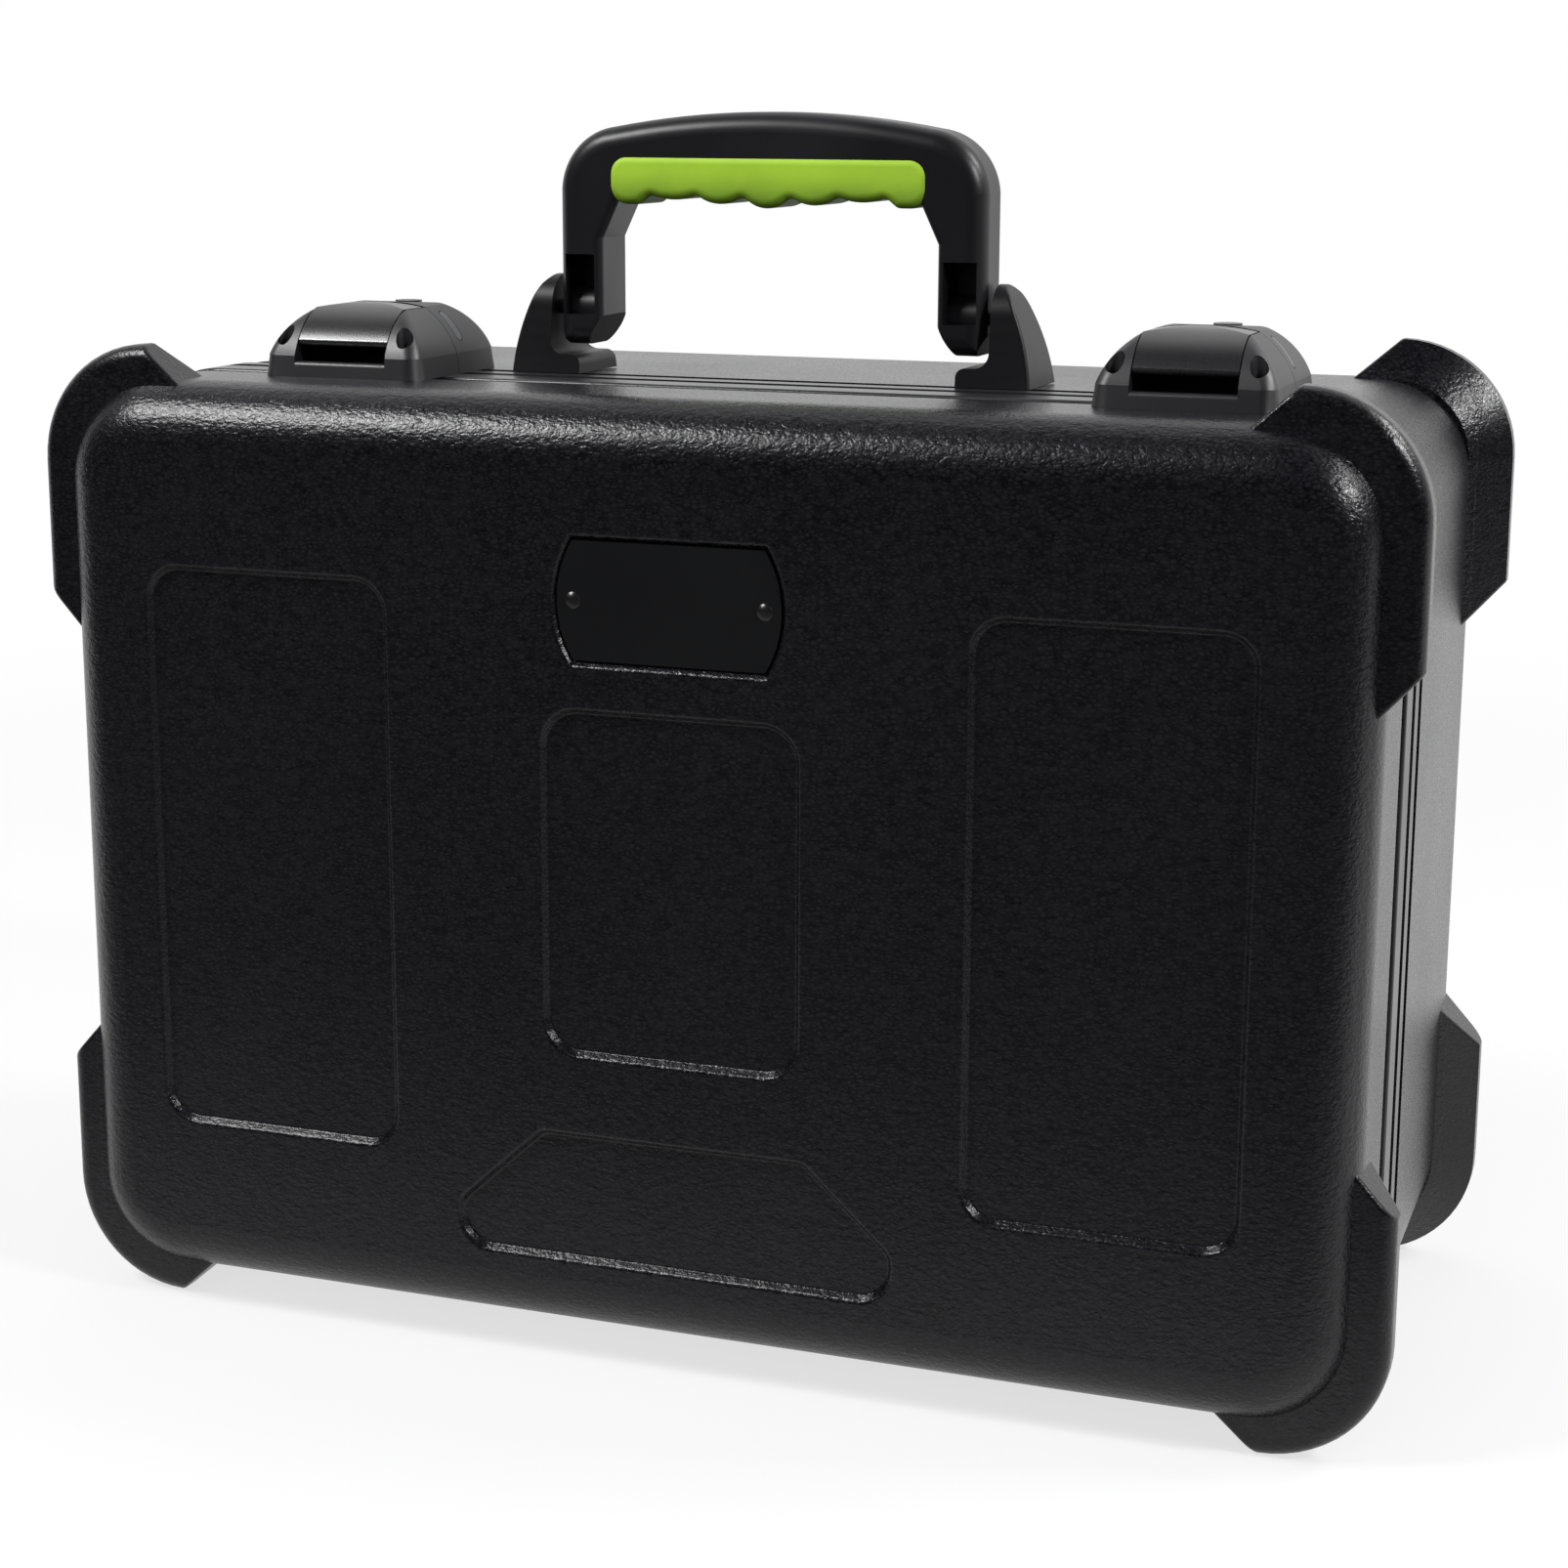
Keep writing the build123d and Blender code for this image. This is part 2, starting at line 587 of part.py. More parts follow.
# ---- Handle --------------------------------------------------------------------------
def handle_profile():
    """Outline of the handle seen from the front: arched top, gussets and two legs."""
    inner = [
        (LEG_INNER, TOP + HANDLE_PIVOT_HEIGHT),
        (LEG_INNER, TOP + HANDLE_GUSSET_BOTTOM),
        (HANDLE_GUSSET_X, TOP + HANDLE_BAR_BOTTOM),
    ]
    bottom = TOP + HANDLE_PIVOT_HEIGHT - HANDLE_THICKNESS / 2
    chamfer_x = LEG_INNER + HANDLE_END_CHAMFER
    chamfer_z = bottom + HANDLE_END_CHAMFER_HEIGHT
    heel_x = HANDLE_SIDE - HANDLE_HEEL
    shoulder = (HANDLE_SHOULDER_X, TOP + HANDLE_SHOULDER_HEIGHT)
    edges = [
        ThreePointArc((-shoulder[0], shoulder[1]), (0, TOP + HANDLE_TOP), shoulder),
    ]
    for side in (-1, 1):
        corner = (side * HANDLE_CORNER_X, TOP + HANDLE_CORNER_HEIGHT)
        flank = (side * HANDLE_SIDE, TOP + HANDLE_SIDE_HEIGHT)
        edges += [
            ThreePointArc((side * shoulder[0], shoulder[1]), corner, flank),
            Line(flank, (side * HANDLE_SIDE, bottom + HANDLE_HEEL_HEIGHT)),
            Line((side * HANDLE_SIDE, bottom + HANDLE_HEEL_HEIGHT), (side * heel_x, bottom)),
            Line((side * heel_x, bottom), (side * chamfer_x, bottom)),
            Line((side * chamfer_x, bottom), (side * LEG_INNER, chamfer_z)),
            Line((side * LEG_INNER, chamfer_z), (side * inner[1][0], inner[1][1])),
            Line((side * inner[1][0], inner[1][1]), (side * inner[2][0], inner[2][1])),
        ]
    edges.append(Line((-inner[2][0], inner[2][1]), inner[2]))
    return make_face(edges)


def grip_lobes():
    """Lower edge of the grip from right to left: a bowed lobe for each finger."""
    valley = TOP + GRIP_VALLEY
    end_height = TOP + GRIP_END_HEIGHT
    flat = GRIP_WIDTH / 2 - GRIP_END_ROUND
    span = GRIP_LOBES * GRIP_LOBE_PITCH / 2
    edges = []
    for side in (-1, 1):
        step = (side * (span + GRIP_STEP), end_height)
        edges += [Line((side * flat, end_height), step), Line(step, (side * span, valley))]
    for index in range(GRIP_LOBES):
        middle = (index + 1 / 2) * GRIP_LOBE_PITCH - span
        from_middle = abs(index - (GRIP_LOBES - 1) / 2)
        sag = GRIP_LOBE_DEPTH - from_middle * GRIP_LOBE_FADE
        half = GRIP_LOBE_PITCH / 2
        edges.append(
            ThreePointArc((middle - half, valley), (middle, valley - sag), (middle + half, valley))
        )
    return edges


def is_cusp(vertex):
    """True for a sharp corner between the lobes or beside the outer ones."""
    between_ends = abs(vertex.X) < GRIP_WIDTH / 2 - GRIP_END_ROUND - GRIP_STEP / 2
    return between_ends and vertex.Y < TOP + GRIP_VALLEY + GRIP_STEP


def quarter(centre_x, centre_z, radius, side, level):
    """Quarter circle round one corner of an outline."""
    slant = radius / sqrt(2)
    return ThreePointArc(
        (centre_x, centre_z + level * radius),
        (centre_x + side * slant, centre_z + level * slant),
        (centre_x + side * radius, centre_z),
    )


def grip_profile():
    """Outline of the soft grip: straight top, round ends and finger lobes below."""
    half = GRIP_WIDTH / 2
    flat = half - GRIP_END_ROUND
    top = TOP + GRIP_TOP
    low = TOP + GRIP_END_HEIGHT + GRIP_END_ROUND
    edges = [Line((-flat, top), (flat, top))] + grip_lobes()
    for side in (-1, 1):
        edges += [
            quarter(side * flat, top - GRIP_END_ROUND, GRIP_END_ROUND, side, 1),
            Line((side * half, top - GRIP_END_ROUND), (side * half, low)),
            quarter(side * flat, low, GRIP_END_ROUND, side, -1),
        ]
    profile = make_face(edges)
    cusps = [v for v in profile.vertices() if is_cusp(v)]
    return fillet(cusps, GRIP_CUSP_ROUND)


def grip_core():
    """The bar of the handle where the grip wraps round it."""
    bottom = HANDLE_BAR_BOTTOM + GRIP_CORE_INSET
    height = GRIP_TOP - bottom
    section = Pos(0, TOP + bottom + height / 2) * Rectangle(GRIP_WIDTH - 2 * GRIP_CORE_INSET, height)
    return prism(section, HANDLE_FRONT + GRIP_CORE_INSET, HANDLE_REAR - GRIP_CORE_INSET)


def grip_blank():
    grip = prism(grip_profile(), HANDLE_FRONT - GRIP_PROUD, HANDLE_REAR + GRIP_PROUD)
    return fillet(front_edges(grip) + rear_edges(grip), GRIP_EDGE_ROUND)


def handle_grip():
    return grip_blank() - grip_core()


def leg_ends():
    """Side view that the handle's legs share: straight, with rounded ends below the pivot."""
    bottom = HANDLE_PIVOT - HANDLE_THICKNESS / 2
    height = TOP + HANDLE_TOP - bottom
    side_view = Pos(HANDLE_MIDDLE, bottom + height / 2) * Rectangle(HANDLE_THICKNESS, height)
    return fillet(side_view.vertices().group_by(Axis.Y)[0], HANDLE_END_ROUND)


def handle_pockets():
    """Recesses in the front of the legs, with the sleeve of the pivot left in them."""
    cuts = []
    for side in SIDES.values():
        outer = side * (HANDLE_SIDE - POCKET_INSET)
        inner = side * (HANDLE_SIDE - POCKET_INSET - POCKET_WIDTH)
        low, high = min(outer, inner), max(outer, inner)
        pocket = block(low, high, HANDLE_FRONT, HANDLE_FRONT + POCKET_DEPTH,
                       TOP + POCKET_BOTTOM, TOP + POCKET_TOP)
        cuts.append(pocket - rod(SLEEVE_RADIUS, HANDLE_MIDDLE, HANDLE_PIVOT, low, high))
    return cuts


def handle_body():
    blank = prism(handle_profile(), HANDLE_FRONT, HANDLE_REAR)
    rims = front_edges(blank) + rear_edges(blank)
    outer = [edge for edge in rims if is_outer_rim(edge.center())]
    blank = fillet(outer, HANDLE_ROUND)
    rims = front_edges(blank) + rear_edges(blank)
    inner = [edge for edge in rims if is_inner_rim(edge.center())]
    blank = fillet(inner, HANDLE_INNER_ROUND)
    blank = blank & beam(leg_ends(), -HANDLE_SIDE, HANDLE_SIDE)
    blank = blank - (grip_blank() - grip_core())
    for pocket in handle_pockets():
        blank = blank - pocket
    for bore in handle_pin_rods(HANDLE_PIN_CLEARANCE):
        blank = blank - bore
    return blank


def is_outer_rim(place):
    """True on the handle's top, shoulders and flanks."""
    return place.Z > TOP + GRIP_TOP or abs(place.X) > HANDLE_SIDE - HANDLE_HEEL / 4


def is_inner_rim(place):
    """True on the inner side of the legs and under the bar."""
    return abs(place.X) < LEG_INNER + HANDLE_HEEL / 4 and place.Z < TOP + GRIP_TOP


def handle_halves():
    """The handle is two mouldings that meet at a seam half way through its thickness."""
    body = handle_body()
    reach = 2 * HANDLE_WIDTH
    front = body & block(-reach, reach, HANDLE_FRONT - reach, HANDLE_MIDDLE, -reach, reach)
    rear = body & block(-reach, reach, HANDLE_MIDDLE, HANDLE_REAR + reach, -reach, reach)
    for screw in handle_screw_solids():
        front = front - screw
        rear = rear - screw
    for x, z in handle_screw_places():
        well = Pos(x, z) * Circle(HANDLE_SCREW_HEAD / 2)
        rear = rear - prism(well, HANDLE_REAR - HANDLE_SCREW_DEPTH, HANDLE_REAR)
    return front, rear


def handle_screw_places():
    return [
        (side * HANDLE_SCREW_X, TOP + height)
        for side in SIDES.values()
        for height in (HANDLE_SCREW_LOW, HANDLE_SCREW_HIGH)
    ]


def handle_screw_solids():
    """Screws that hold the two halves of the handle together, with their heads sunk."""
    solids = []
    head_front = HANDLE_REAR - HANDLE_SCREW_DEPTH
    for x, z in handle_screw_places():
        head = Pos(x, z) * Circle(HANDLE_SCREW_HEAD / 2)
        shank = Pos(x, z) * Circle(HANDLE_SCREW_SHANK / 2)
        solids.append(
            prism(head, head_front, head_front + HANDLE_SCREW_HEAD_HEIGHT)
            + prism(shank, head_front - HANDLE_SCREW_LENGTH, head_front)
        )
    return solids


def handle_pin_rods(clearance=0.0):
    """Pivot pins: each runs from inside the leg into the ear of its bracket."""
    inner = LEG_INNER + HANDLE_PIN_WALL
    if clearance > 0:
        inner = inner - HANDLE_PIN_END_GAP
    outer = BRACKET_INNER + BRACKET_TOP_WIDTH
    radius = HANDLE_PIN / 2 + clearance
    return [
        rod(radius, HANDLE_MIDDLE, HANDLE_PIVOT, min(side * inner, side * outer),
            max(side * inner, side * outer))
        for side in SIDES.values()
    ]


def bracket_profile():
    """Front view of a bracket: a bowed flank, a round top, and a cradle above the foot."""
    foot_inner = BRACKET_INNER - BRACKET_FOOT_REACH
    ear_top = HANDLE_PIVOT + BRACKET_EAR_RADIUS
    foot_top = TOP + BRACKET_FOOT_HEIGHT
    flank_top = (BRACKET_INNER + BRACKET_TOP_WIDTH, TOP + BRACKET_TOP_HEIGHT)
    flank_middle = (BRACKET_INNER + BRACKET_MID_WIDTH, TOP + BRACKET_MID_HEIGHT)
    crown = BRACKET_INNER + BRACKET_TOP_WIDTH / 2
    edges = [
        Line((foot_inner, TOP), (BRACKET_OUTER, TOP)),
        ThreePointArc((BRACKET_OUTER, TOP), flank_middle, flank_top),
        Line(flank_top, (crown, ear_top)),
        Line((crown, ear_top), (BRACKET_INNER, ear_top)),
        Line((BRACKET_INNER, ear_top), (BRACKET_INNER, foot_top)),
        Line((BRACKET_INNER, foot_top), (foot_inner, foot_top)),
        Line((foot_inner, foot_top), (foot_inner, TOP)),
    ]
    face = make_face(edges)
    cradle = face.vertices().sort_by_distance((BRACKET_INNER, foot_top, 0))[0]
    face = fillet(cradle, BRACKET_CRADLE_ROUND)
    toe = face.vertices().sort_by_distance((foot_inner, foot_top, 0))[0]
    face = fillet(toe, BRACKET_FOOT_ROUND)
    brow = face.vertices().sort_by_distance((*flank_top, 0))[0]
    return fillet(brow, BRACKET_TOP_ROUND)


def bracket(side):
    """Cast ear outside the leg, with a foot that reaches under the leg."""
    body = prism(bracket_profile(), BRACKET_BASE_FRONT, BRACKET_BASE_REAR)
    circle = Pos(HANDLE_MIDDLE, HANDLE_PIVOT) * Circle(BRACKET_EAR_RADIUS)
    skirt = make_hull(
        circle.edges()
        + [Line((BRACKET_BASE_FRONT, TOP), (BRACKET_BASE_REAR, TOP))]
    )
    body = body & beam(skirt, 0, BRACKET_OUTER)
    outside = [edge for edge in body.edges() if is_flank_rim(edge)]
    body = fillet(outside, BRACKET_EDGE_ROUND)
    if side < 0:
        body = mirror(body, Plane.YZ)
    for pin in handle_pin_rods():
        body = body - pin
    return body - bracket_screw_shanks()


def is_flank_rim(edge):
    """True for an edge between a bracket's flank and its front, rear or round top."""
    place = edge.center()
    return place.X > BRACKET_INNER + BRACKET_TOP_WIDTH / 2 and place.Z > TOP + BRACKET_EDGE_ROUND


def bracket_screw_places():
    middle = BRACKET_INNER + BRACKET_SCREW_SHIFT
    return [
        (side * (middle + end * BRACKET_SCREW_PITCH / 2), BRACKET_SCREW_DEPTH)
        for side in SIDES.values()
        for end in (-1, 1)
    ]


def wall_inside(depth):
    """Height of the inner face of the base's top wall at a depth."""
    return TOP - SHELL_WALL - (depth - BASE_EDGE) * tan(radians(BASE_DRAFT))


def bracket_screw_shanks():
    seat = wall_inside(BRACKET_SCREW_DEPTH + BRACKET_SCREW_HEAD / 2)
    return Part() + [
        post(BRACKET_SCREW_SHANK / 2, x, depth, seat, TOP + BRACKET_SCREW_BITE)
        for x, depth in bracket_screw_places()
    ]


def bracket_screws():
    """Screws through the base's top wall into the brackets, with their heads inside."""
    seat = wall_inside(BRACKET_SCREW_DEPTH + BRACKET_SCREW_HEAD / 2)
    heads = [
        post(BRACKET_SCREW_HEAD / 2, x, depth, seat - BRACKET_SCREW_HEAD_HEIGHT, seat)
        for x, depth in bracket_screw_places()
    ]
    return bracket_screw_shanks() + heads


# ---- Latches -------------------------------------------------------------------------
def latch_side_view():
    """Latch seen from its side: a dome that rises from the lid and falls to the base."""
    sill_top = (LATCH_FRONT + LATCH_LEAN, TOP + SILL_HEIGHT)
    brow = (LATCH_FRONT + LATCH_BROW_RUN, TOP + LATCH_BROW_HEIGHT)
    crown_start = (LEVER_PIVOT_DEPTH, TOP + LATCH_HEIGHT)
    crown_end = (LATCH_REAR - LATCH_CROWN_SETBACK, TOP + LATCH_HEIGHT - LATCH_CROWN_DROP)
    tail = (LATCH_REAR - LATCH_TAIL_SETBACK, TOP + LATCH_TAIL_HEIGHT)
    edges = [
        Line((LATCH_FRONT, TOP), sill_top),
        ThreePointArc(sill_top, brow, crown_start),
        Line(crown_start, crown_end),
        ThreePointArc(crown_end, tail, (LATCH_REAR, TOP)),
        Line((LATCH_REAR, TOP), (LATCH_FRONT, TOP)),
    ]
    return make_face(edges)


def latch_front_view():
    """Latch seen from the front: slightly crowned, with round shoulders."""
    half = LATCH_WIDTH / 2
    top_half = LATCH_TOP_WIDTH / 2
    shoulder = (LATCH_SHOULDER_WIDTH / 2, TOP + LATCH_SHOULDER_HEIGHT)
    edges = [
        Line((-half, TOP), (half, TOP)),
        ThreePointArc(
            (-top_half, TOP + LATCH_TOP_EDGE), (0, TOP + LATCH_HEIGHT), (top_half, TOP + LATCH_TOP_EDGE)
        ),
    ]
    for side in (-1, 1):
        edges += [
            Line((side * half, TOP), (side * half, TOP + LATCH_FOOT)),
            ThreePointArc(
                (side * half, TOP + LATCH_FOOT),
                (side * shoulder[0], shoulder[1]),
                (side * top_half, TOP + LATCH_TOP_EDGE),
            ),
        ]
    return make_face(edges)


def latch_blank():
    """Dome with rounded cheeks on a foot that spreads slightly towards the shell."""
    half = LATCH_WIDTH / 2
    dome = beam(latch_side_view(), -half, half) & prism(latch_front_view(), LATCH_FRONT, LATCH_REAR)
    dome = dome & block(
        -half, half, LATCH_FRONT, LATCH_REAR, TOP + LATCH_FOOT_HEIGHT, TOP + 2 * LATCH_HEIGHT
    )
    cheeks = [edge for edge in dome.edges().filter_by(GeomType.BSPLINE) if is_cheek(edge.center())]
    dome = fillet(cheeks, LATCH_ROUND)
    section = dome.faces().sort_by(Axis.Z)[0].bounding_box()
    top = Pos(section.center()) * RectangleRounded(section.size.X, section.size.Y, LATCH_ROUND)
    foot = extrude(top, -LATCH_FOOT_HEIGHT, taper=-LATCH_FOOT_SPREAD)
    return dome + foot


def is_cheek(place):
    """True for a place on an edge between the dome's slopes and its cheeks."""
    front_end = LEVER_PIVOT_DEPTH - LATCH_CHEEK_SETBACK
    rear_end = LATCH_REAR - LATCH_CROWN_SETBACK + LATCH_ROUND
    return not front_end < place.Y < rear_end


def latch_front_housing():
    """Half of the latch on the lid, with a window for the lever and a sill below it."""
    housing = latch_blank() & block(
        -LATCH_WIDTH, LATCH_WIDTH, 0, PARTING - LATCH_SEAM / 2, TOP, TOP + 2 * LATCH_HEIGHT
    )
    half = WINDOW_WIDTH / 2
    sill_rear = LATCH_FRONT + SILL_THICKNESS
    housing = housing - block(-half, half, 0, PARTING, TOP + SILL_HEIGHT, TOP + 2 * LATCH_HEIGHT)
    housing = housing - block(-half, half, sill_rear, PARTING, TOP + FLOOR_HEIGHT, TOP + LATCH_HEIGHT)
    housing = fillet(front_edge_at(housing, TOP + SILL_HEIGHT), SILL_ROUND)
    for side in (-1, 1):
        x = side * LATCH_SCREW_SHIFT
        housing = housing - post(
            LATCH_SCREW_HOLE / 2, x, LATCH_SCREW_DEPTH, TOP + LATCH_SCREW_SEAT, TOP + LATCH_HEIGHT
        )
        housing = housing - post(LATCH_SCREW_SHANK / 2, x, LATCH_SCREW_DEPTH, TOP, TOP + LATCH_SCREW_SEAT)
    return housing - lever_pin()


def front_edge_at(body, height):
    """Foremost edge of a body that runs across the latch at a height."""
    level = [edge for edge in body.edges() if abs(edge.center().Z - height) < HAIR]
    return ShapeList(level).sort_by(lambda edge: edge.center().Y)[0]


def latch_rear_housing():
    """Half of the latch on the base, with a mouth for the tongue and a lock on top."""
    housing = latch_blank() & block(
        -LATCH_WIDTH, LATCH_WIDTH, PARTING + LATCH_SEAM / 2, CASE_DEPTH, TOP, TOP + 2 * LATCH_HEIGHT
    )
    half = WINDOW_WIDTH / 2
    mouth_rear = KEEPER_DEPTH + KEEPER_RADIUS + KEEPER_ROOM
    mouth_top = KEEPER_HEIGHT + KEEPER_RADIUS + KEEPER_ROOM
    housing = housing - block(-half, half, PARTING, mouth_rear, TOP + FLOOR_HEIGHT, mouth_top)
    bore_bottom = TOP + LATCH_HEIGHT - LOCK_LENGTH
    housing = housing - post(
        LOCK_RADIUS + LOCK_CLEARANCE, LOCK_SHIFT, LOCK_DEPTH, bore_bottom, TOP + LATCH_HEIGHT
    )
    return housing - keeper() - inset_tool(INSET_CLEARANCE)


def lever_pin():
    half = WINDOW_WIDTH / 2 + LEVER_PIN_BITE
    return rod(LEVER_PIN / 2, LEVER_PIVOT_DEPTH, LEVER_PIVOT, -half, half)


def keeper():
    half = WINDOW_WIDTH / 2 + KEEPER_BITE
    return rod(KEEPER_RADIUS, KEEPER_DEPTH, KEEPER_HEIGHT, -half, half)


def lever():
    """Curved lever that follows the dome, turns on a barrel and ends in a flat tongue."""
    half = WINDOW_WIDTH / 2 - WINDOW_CLEARANCE
    skin = beam(latch_side_view(), -half, half)
    core = beam(offset(latch_side_view(), -LEVER_THICKNESS), -half, half)
    skin = (skin - core) & prism(latch_front_view(), 0, CASE_DEPTH)
    lip = TOP + LEVER_LIP_HEIGHT
    skin = skin & block(-half, half, 0, LEVER_PIVOT_DEPTH, lip, TOP + 2 * LATCH_HEIGHT)
    skin = fillet(front_edge_at(skin, lip), LEVER_LIP_ROUND)
    barrel = rod(LEVER_BARREL, LEVER_PIVOT_DEPTH, LEVER_PIVOT, -half, half)
    barrel = barrel & prism(latch_front_view(), 0, CASE_DEPTH)
    tongue_half = TONGUE_WIDTH / 2
    tongue = block(-tongue_half, tongue_half, LEVER_PIVOT_DEPTH, TONGUE_END,
                   TOP + TONGUE_TOP - TONGUE_THICKNESS, TOP + TONGUE_TOP)
    web = block(-tongue_half, tongue_half, LEVER_PIVOT_DEPTH - LEVER_BARREL / 2,
                LEVER_PIVOT_DEPTH + LEVER_BARREL / 2, TOP + TONGUE_TOP - TONGUE_THICKNESS, LEVER_PIVOT)
    body = skin + barrel + tongue + web
    bore = rod(LEVER_PIN / 2 + LEVER_PIN_CLEARANCE, LEVER_PIVOT_DEPTH, LEVER_PIVOT, -half, half)
    return body - bore


def lock_plug():
    """Key cylinder with its keyway, proud of the housing by a hair."""
    top = TOP + LATCH_HEIGHT - LOCK_SURFACE_DROP + LOCK_PROUD
    bottom = TOP + LATCH_HEIGHT - LOCK_LENGTH
    plug = post(LOCK_RADIUS, LOCK_SHIFT, LOCK_DEPTH, bottom, top)
    half_length = KEYWAY_LENGTH / 2
    half_width = KEYWAY_WIDTH / 2
    keyway = block(LOCK_SHIFT - half_length, LOCK_SHIFT + half_length, LOCK_DEPTH - half_width,
                   LOCK_DEPTH + half_width, top - KEYWAY_DEPTH, top)
    return plug - keyway


def inset_tool(clearance=0.0):
    """Slot-shaped pad let into the right shoulder of the rear housing."""
    slot = SlotOverall(INSET_LENGTH + 2 * clearance, INSET_WIDTH + 2 * clearance)
    pad = extrude(slot, INSET_THICKNESS, both=True)
    return Pos(INSET_SHIFT, INSET_DEPTH, TOP + INSET_HEIGHT) * Rot(0, INSET_TILT, 0) * pad


def latch_inset():
    return inset_tool() & latch_blank()


def latch_screw_shanks():
    shanks = []
    for centre in LATCH_CENTRES.values():
        for side in (-1, 1):
            x = centre + side * LATCH_SCREW_SHIFT
            shanks.append(
                post(LATCH_SCREW_SHANK / 2, x, LATCH_SCREW_DEPTH, TOP - SHELL_WALL, TOP + LATCH_SCREW_SEAT)
            )
    return Part() + shanks


def latch_screws():
    """Screws at the bottom of the wells in the latches' cheeks."""
    heads = []
    for centre in LATCH_CENTRES.values():
        for side in (-1, 1):
            x = centre + side * LATCH_SCREW_SHIFT
            seat = TOP + LATCH_SCREW_SEAT
            heads.append(
                post(LATCH_SCREW_HOLE / 2 - LATCH_SCREW_CLEARANCE, x, LATCH_SCREW_DEPTH, seat,
                     seat + LATCH_SCREW_HEAD_HEIGHT)
                + post(LATCH_SCREW_SHANK / 2, x, LATCH_SCREW_DEPTH, TOP - SHELL_WALL, seat)
            )
    return Part() + heads


# ---- Hinges --------------------------------------------------------------------------
def hinge_leaf(part, centre):
    """Leaf under a metal band, with every second knuckle of the hinge."""
    half = HINGE_WIDTH / 2
    pitch = HINGE_WIDTH / HINGE_KNUCKLES
    knuckle_reach = HINGE_KNUCKLE / 2 + HINGE_RELIEF
    plate_top = -TOP
    plate_bottom = -TOP - HINGE_LEAF
    if part == "lid":
        plate = block(centre - half, centre + half, LID_LEAF_FRONT, PARTING - knuckle_reach,
                      plate_bottom, plate_top)
        first = 1
    else:
        plate = block(centre - half, centre + half, PARTING + knuckle_reach, BASE_LEAF_REAR,
                      plate_bottom, plate_top)
        first = 0
    leaf = plate
    sign = -1 if part == "lid" else 1
    for index in range(first, HINGE_KNUCKLES, 2):
        left = centre - half + index * pitch + HINGE_END_GAP / 2
        right = left + pitch - HINGE_END_GAP
        knuckle = rod(HINGE_KNUCKLE / 2, PARTING, HINGE_AXIS, left, right)
        near = PARTING
        far = PARTING + sign * knuckle_reach
        tab = block(left, right, min(near, far), max(near, far), plate_bottom, plate_top)
        leaf = leaf + knuckle + tab
    bore = rod(HINGE_PIN / 2 + HINGE_PIN_CLEARANCE, PARTING, HINGE_AXIS, centre - half, centre + half)
    return leaf - bore - hinge_rivet_shanks(part)


def hinge_rivet_places(part):
    depth = PARTING - LID_RIVET_SETBACK if part == "lid" else PARTING + BASE_RIVET_SETBACK
    middle = (HINGE_RIVETS - 1) / 2
    return [
        (side * HINGE_SPACING / 2 + (index - middle) * HINGE_RIVET_PITCH, depth)
        for side in SIDES.values()
        for index in range(HINGE_RIVETS)
    ]


def hinge_rivet_shanks(part):
    return Part() + [
        post(HINGE_RIVET_SHANK / 2, x, depth, -TOP - HINGE_LEAF, -TOP + HINGE_RIVET_LENGTH)
        for x, depth in hinge_rivet_places(part)
    ]


def hinge_rivets(part):
    crown = dome(HINGE_RIVET_HEAD / 2, HINGE_RIVET_CROWN)
    heads = [
        Pos(x, depth, -TOP - HINGE_LEAF) * Rot(180, 0, 0) * crown
        for x, depth in hinge_rivet_places(part)
    ]
    return hinge_rivet_shanks(part) + heads


def hinge_pins():
    half = HINGE_WIDTH / 2
    return Part() + [
        rod(HINGE_PIN / 2, PARTING, HINGE_AXIS, side * HINGE_SPACING / 2 - half,
            side * HINGE_SPACING / 2 + half)
        for side in SIDES.values()
    ]


# ---- Foam ----------------------------------------------------------------------------
def foam_outline():
    return RectangleRounded(FOAM_WIDTH, FOAM_HEIGHT, FOAM_CORNER)


def foam_rails():
    """Long strips of the foam insert above, between and below the rows of drops."""
    rails = []
    for index in range(DROP_ROWS + 1):
        bottom = -FOAM_HEIGHT / 2 + index * (RAIL + DROP)
        full = index in (0, DROP_ROWS)
        right = FOAM_WIDTH / 2 if full else DROPS_END
        rail = block(-FOAM_WIDTH / 2, right, FOAM_TOP, FOAM_FLOOR, bottom, bottom + RAIL)
        rails.append(rail & prism(foam_outline(), FOAM_TOP, FOAM_FLOOR))
    return Part() + rails


def foam_row(row):
    """Blocks of foam between the drops of one row, and the bay's end wall."""
    bottom = -FOAM_HEIGHT / 2 + RAIL + row * (RAIL + DROP)
    blocks = []
    for index in range(DROP_COLUMNS + 1):
        left = -FOAM_WIDTH / 2 + index * (DROP_WEB + DROP)
        blocks.append(
            block(left, left + DROP_WEB, FOAM_TOP, FOAM_FLOOR, bottom, bottom + DROP)
        )
    return Part() + blocks


def foam_bay_wall():
    """Strip of foam that closes the open bay beside the drops."""
    low = -FOAM_HEIGHT / 2 + RAIL
    return block(FOAM_WIDTH / 2 - DROP_WEB, FOAM_WIDTH / 2, FOAM_TOP, FOAM_FLOOR, low, -low)


def foam_base_pad():
    plan = RectangleRounded(
        FOAM_WIDTH - 2 * PAD_INSET, FOAM_HEIGHT - 2 * PAD_INSET, FOAM_CORNER - PAD_INSET
    )
    pad = prism(plan, FOAM_FLOOR, FOAM_FLOOR + PAD_THICKNESS)
    return fillet(rear_edges(pad), PAD_ROUND)


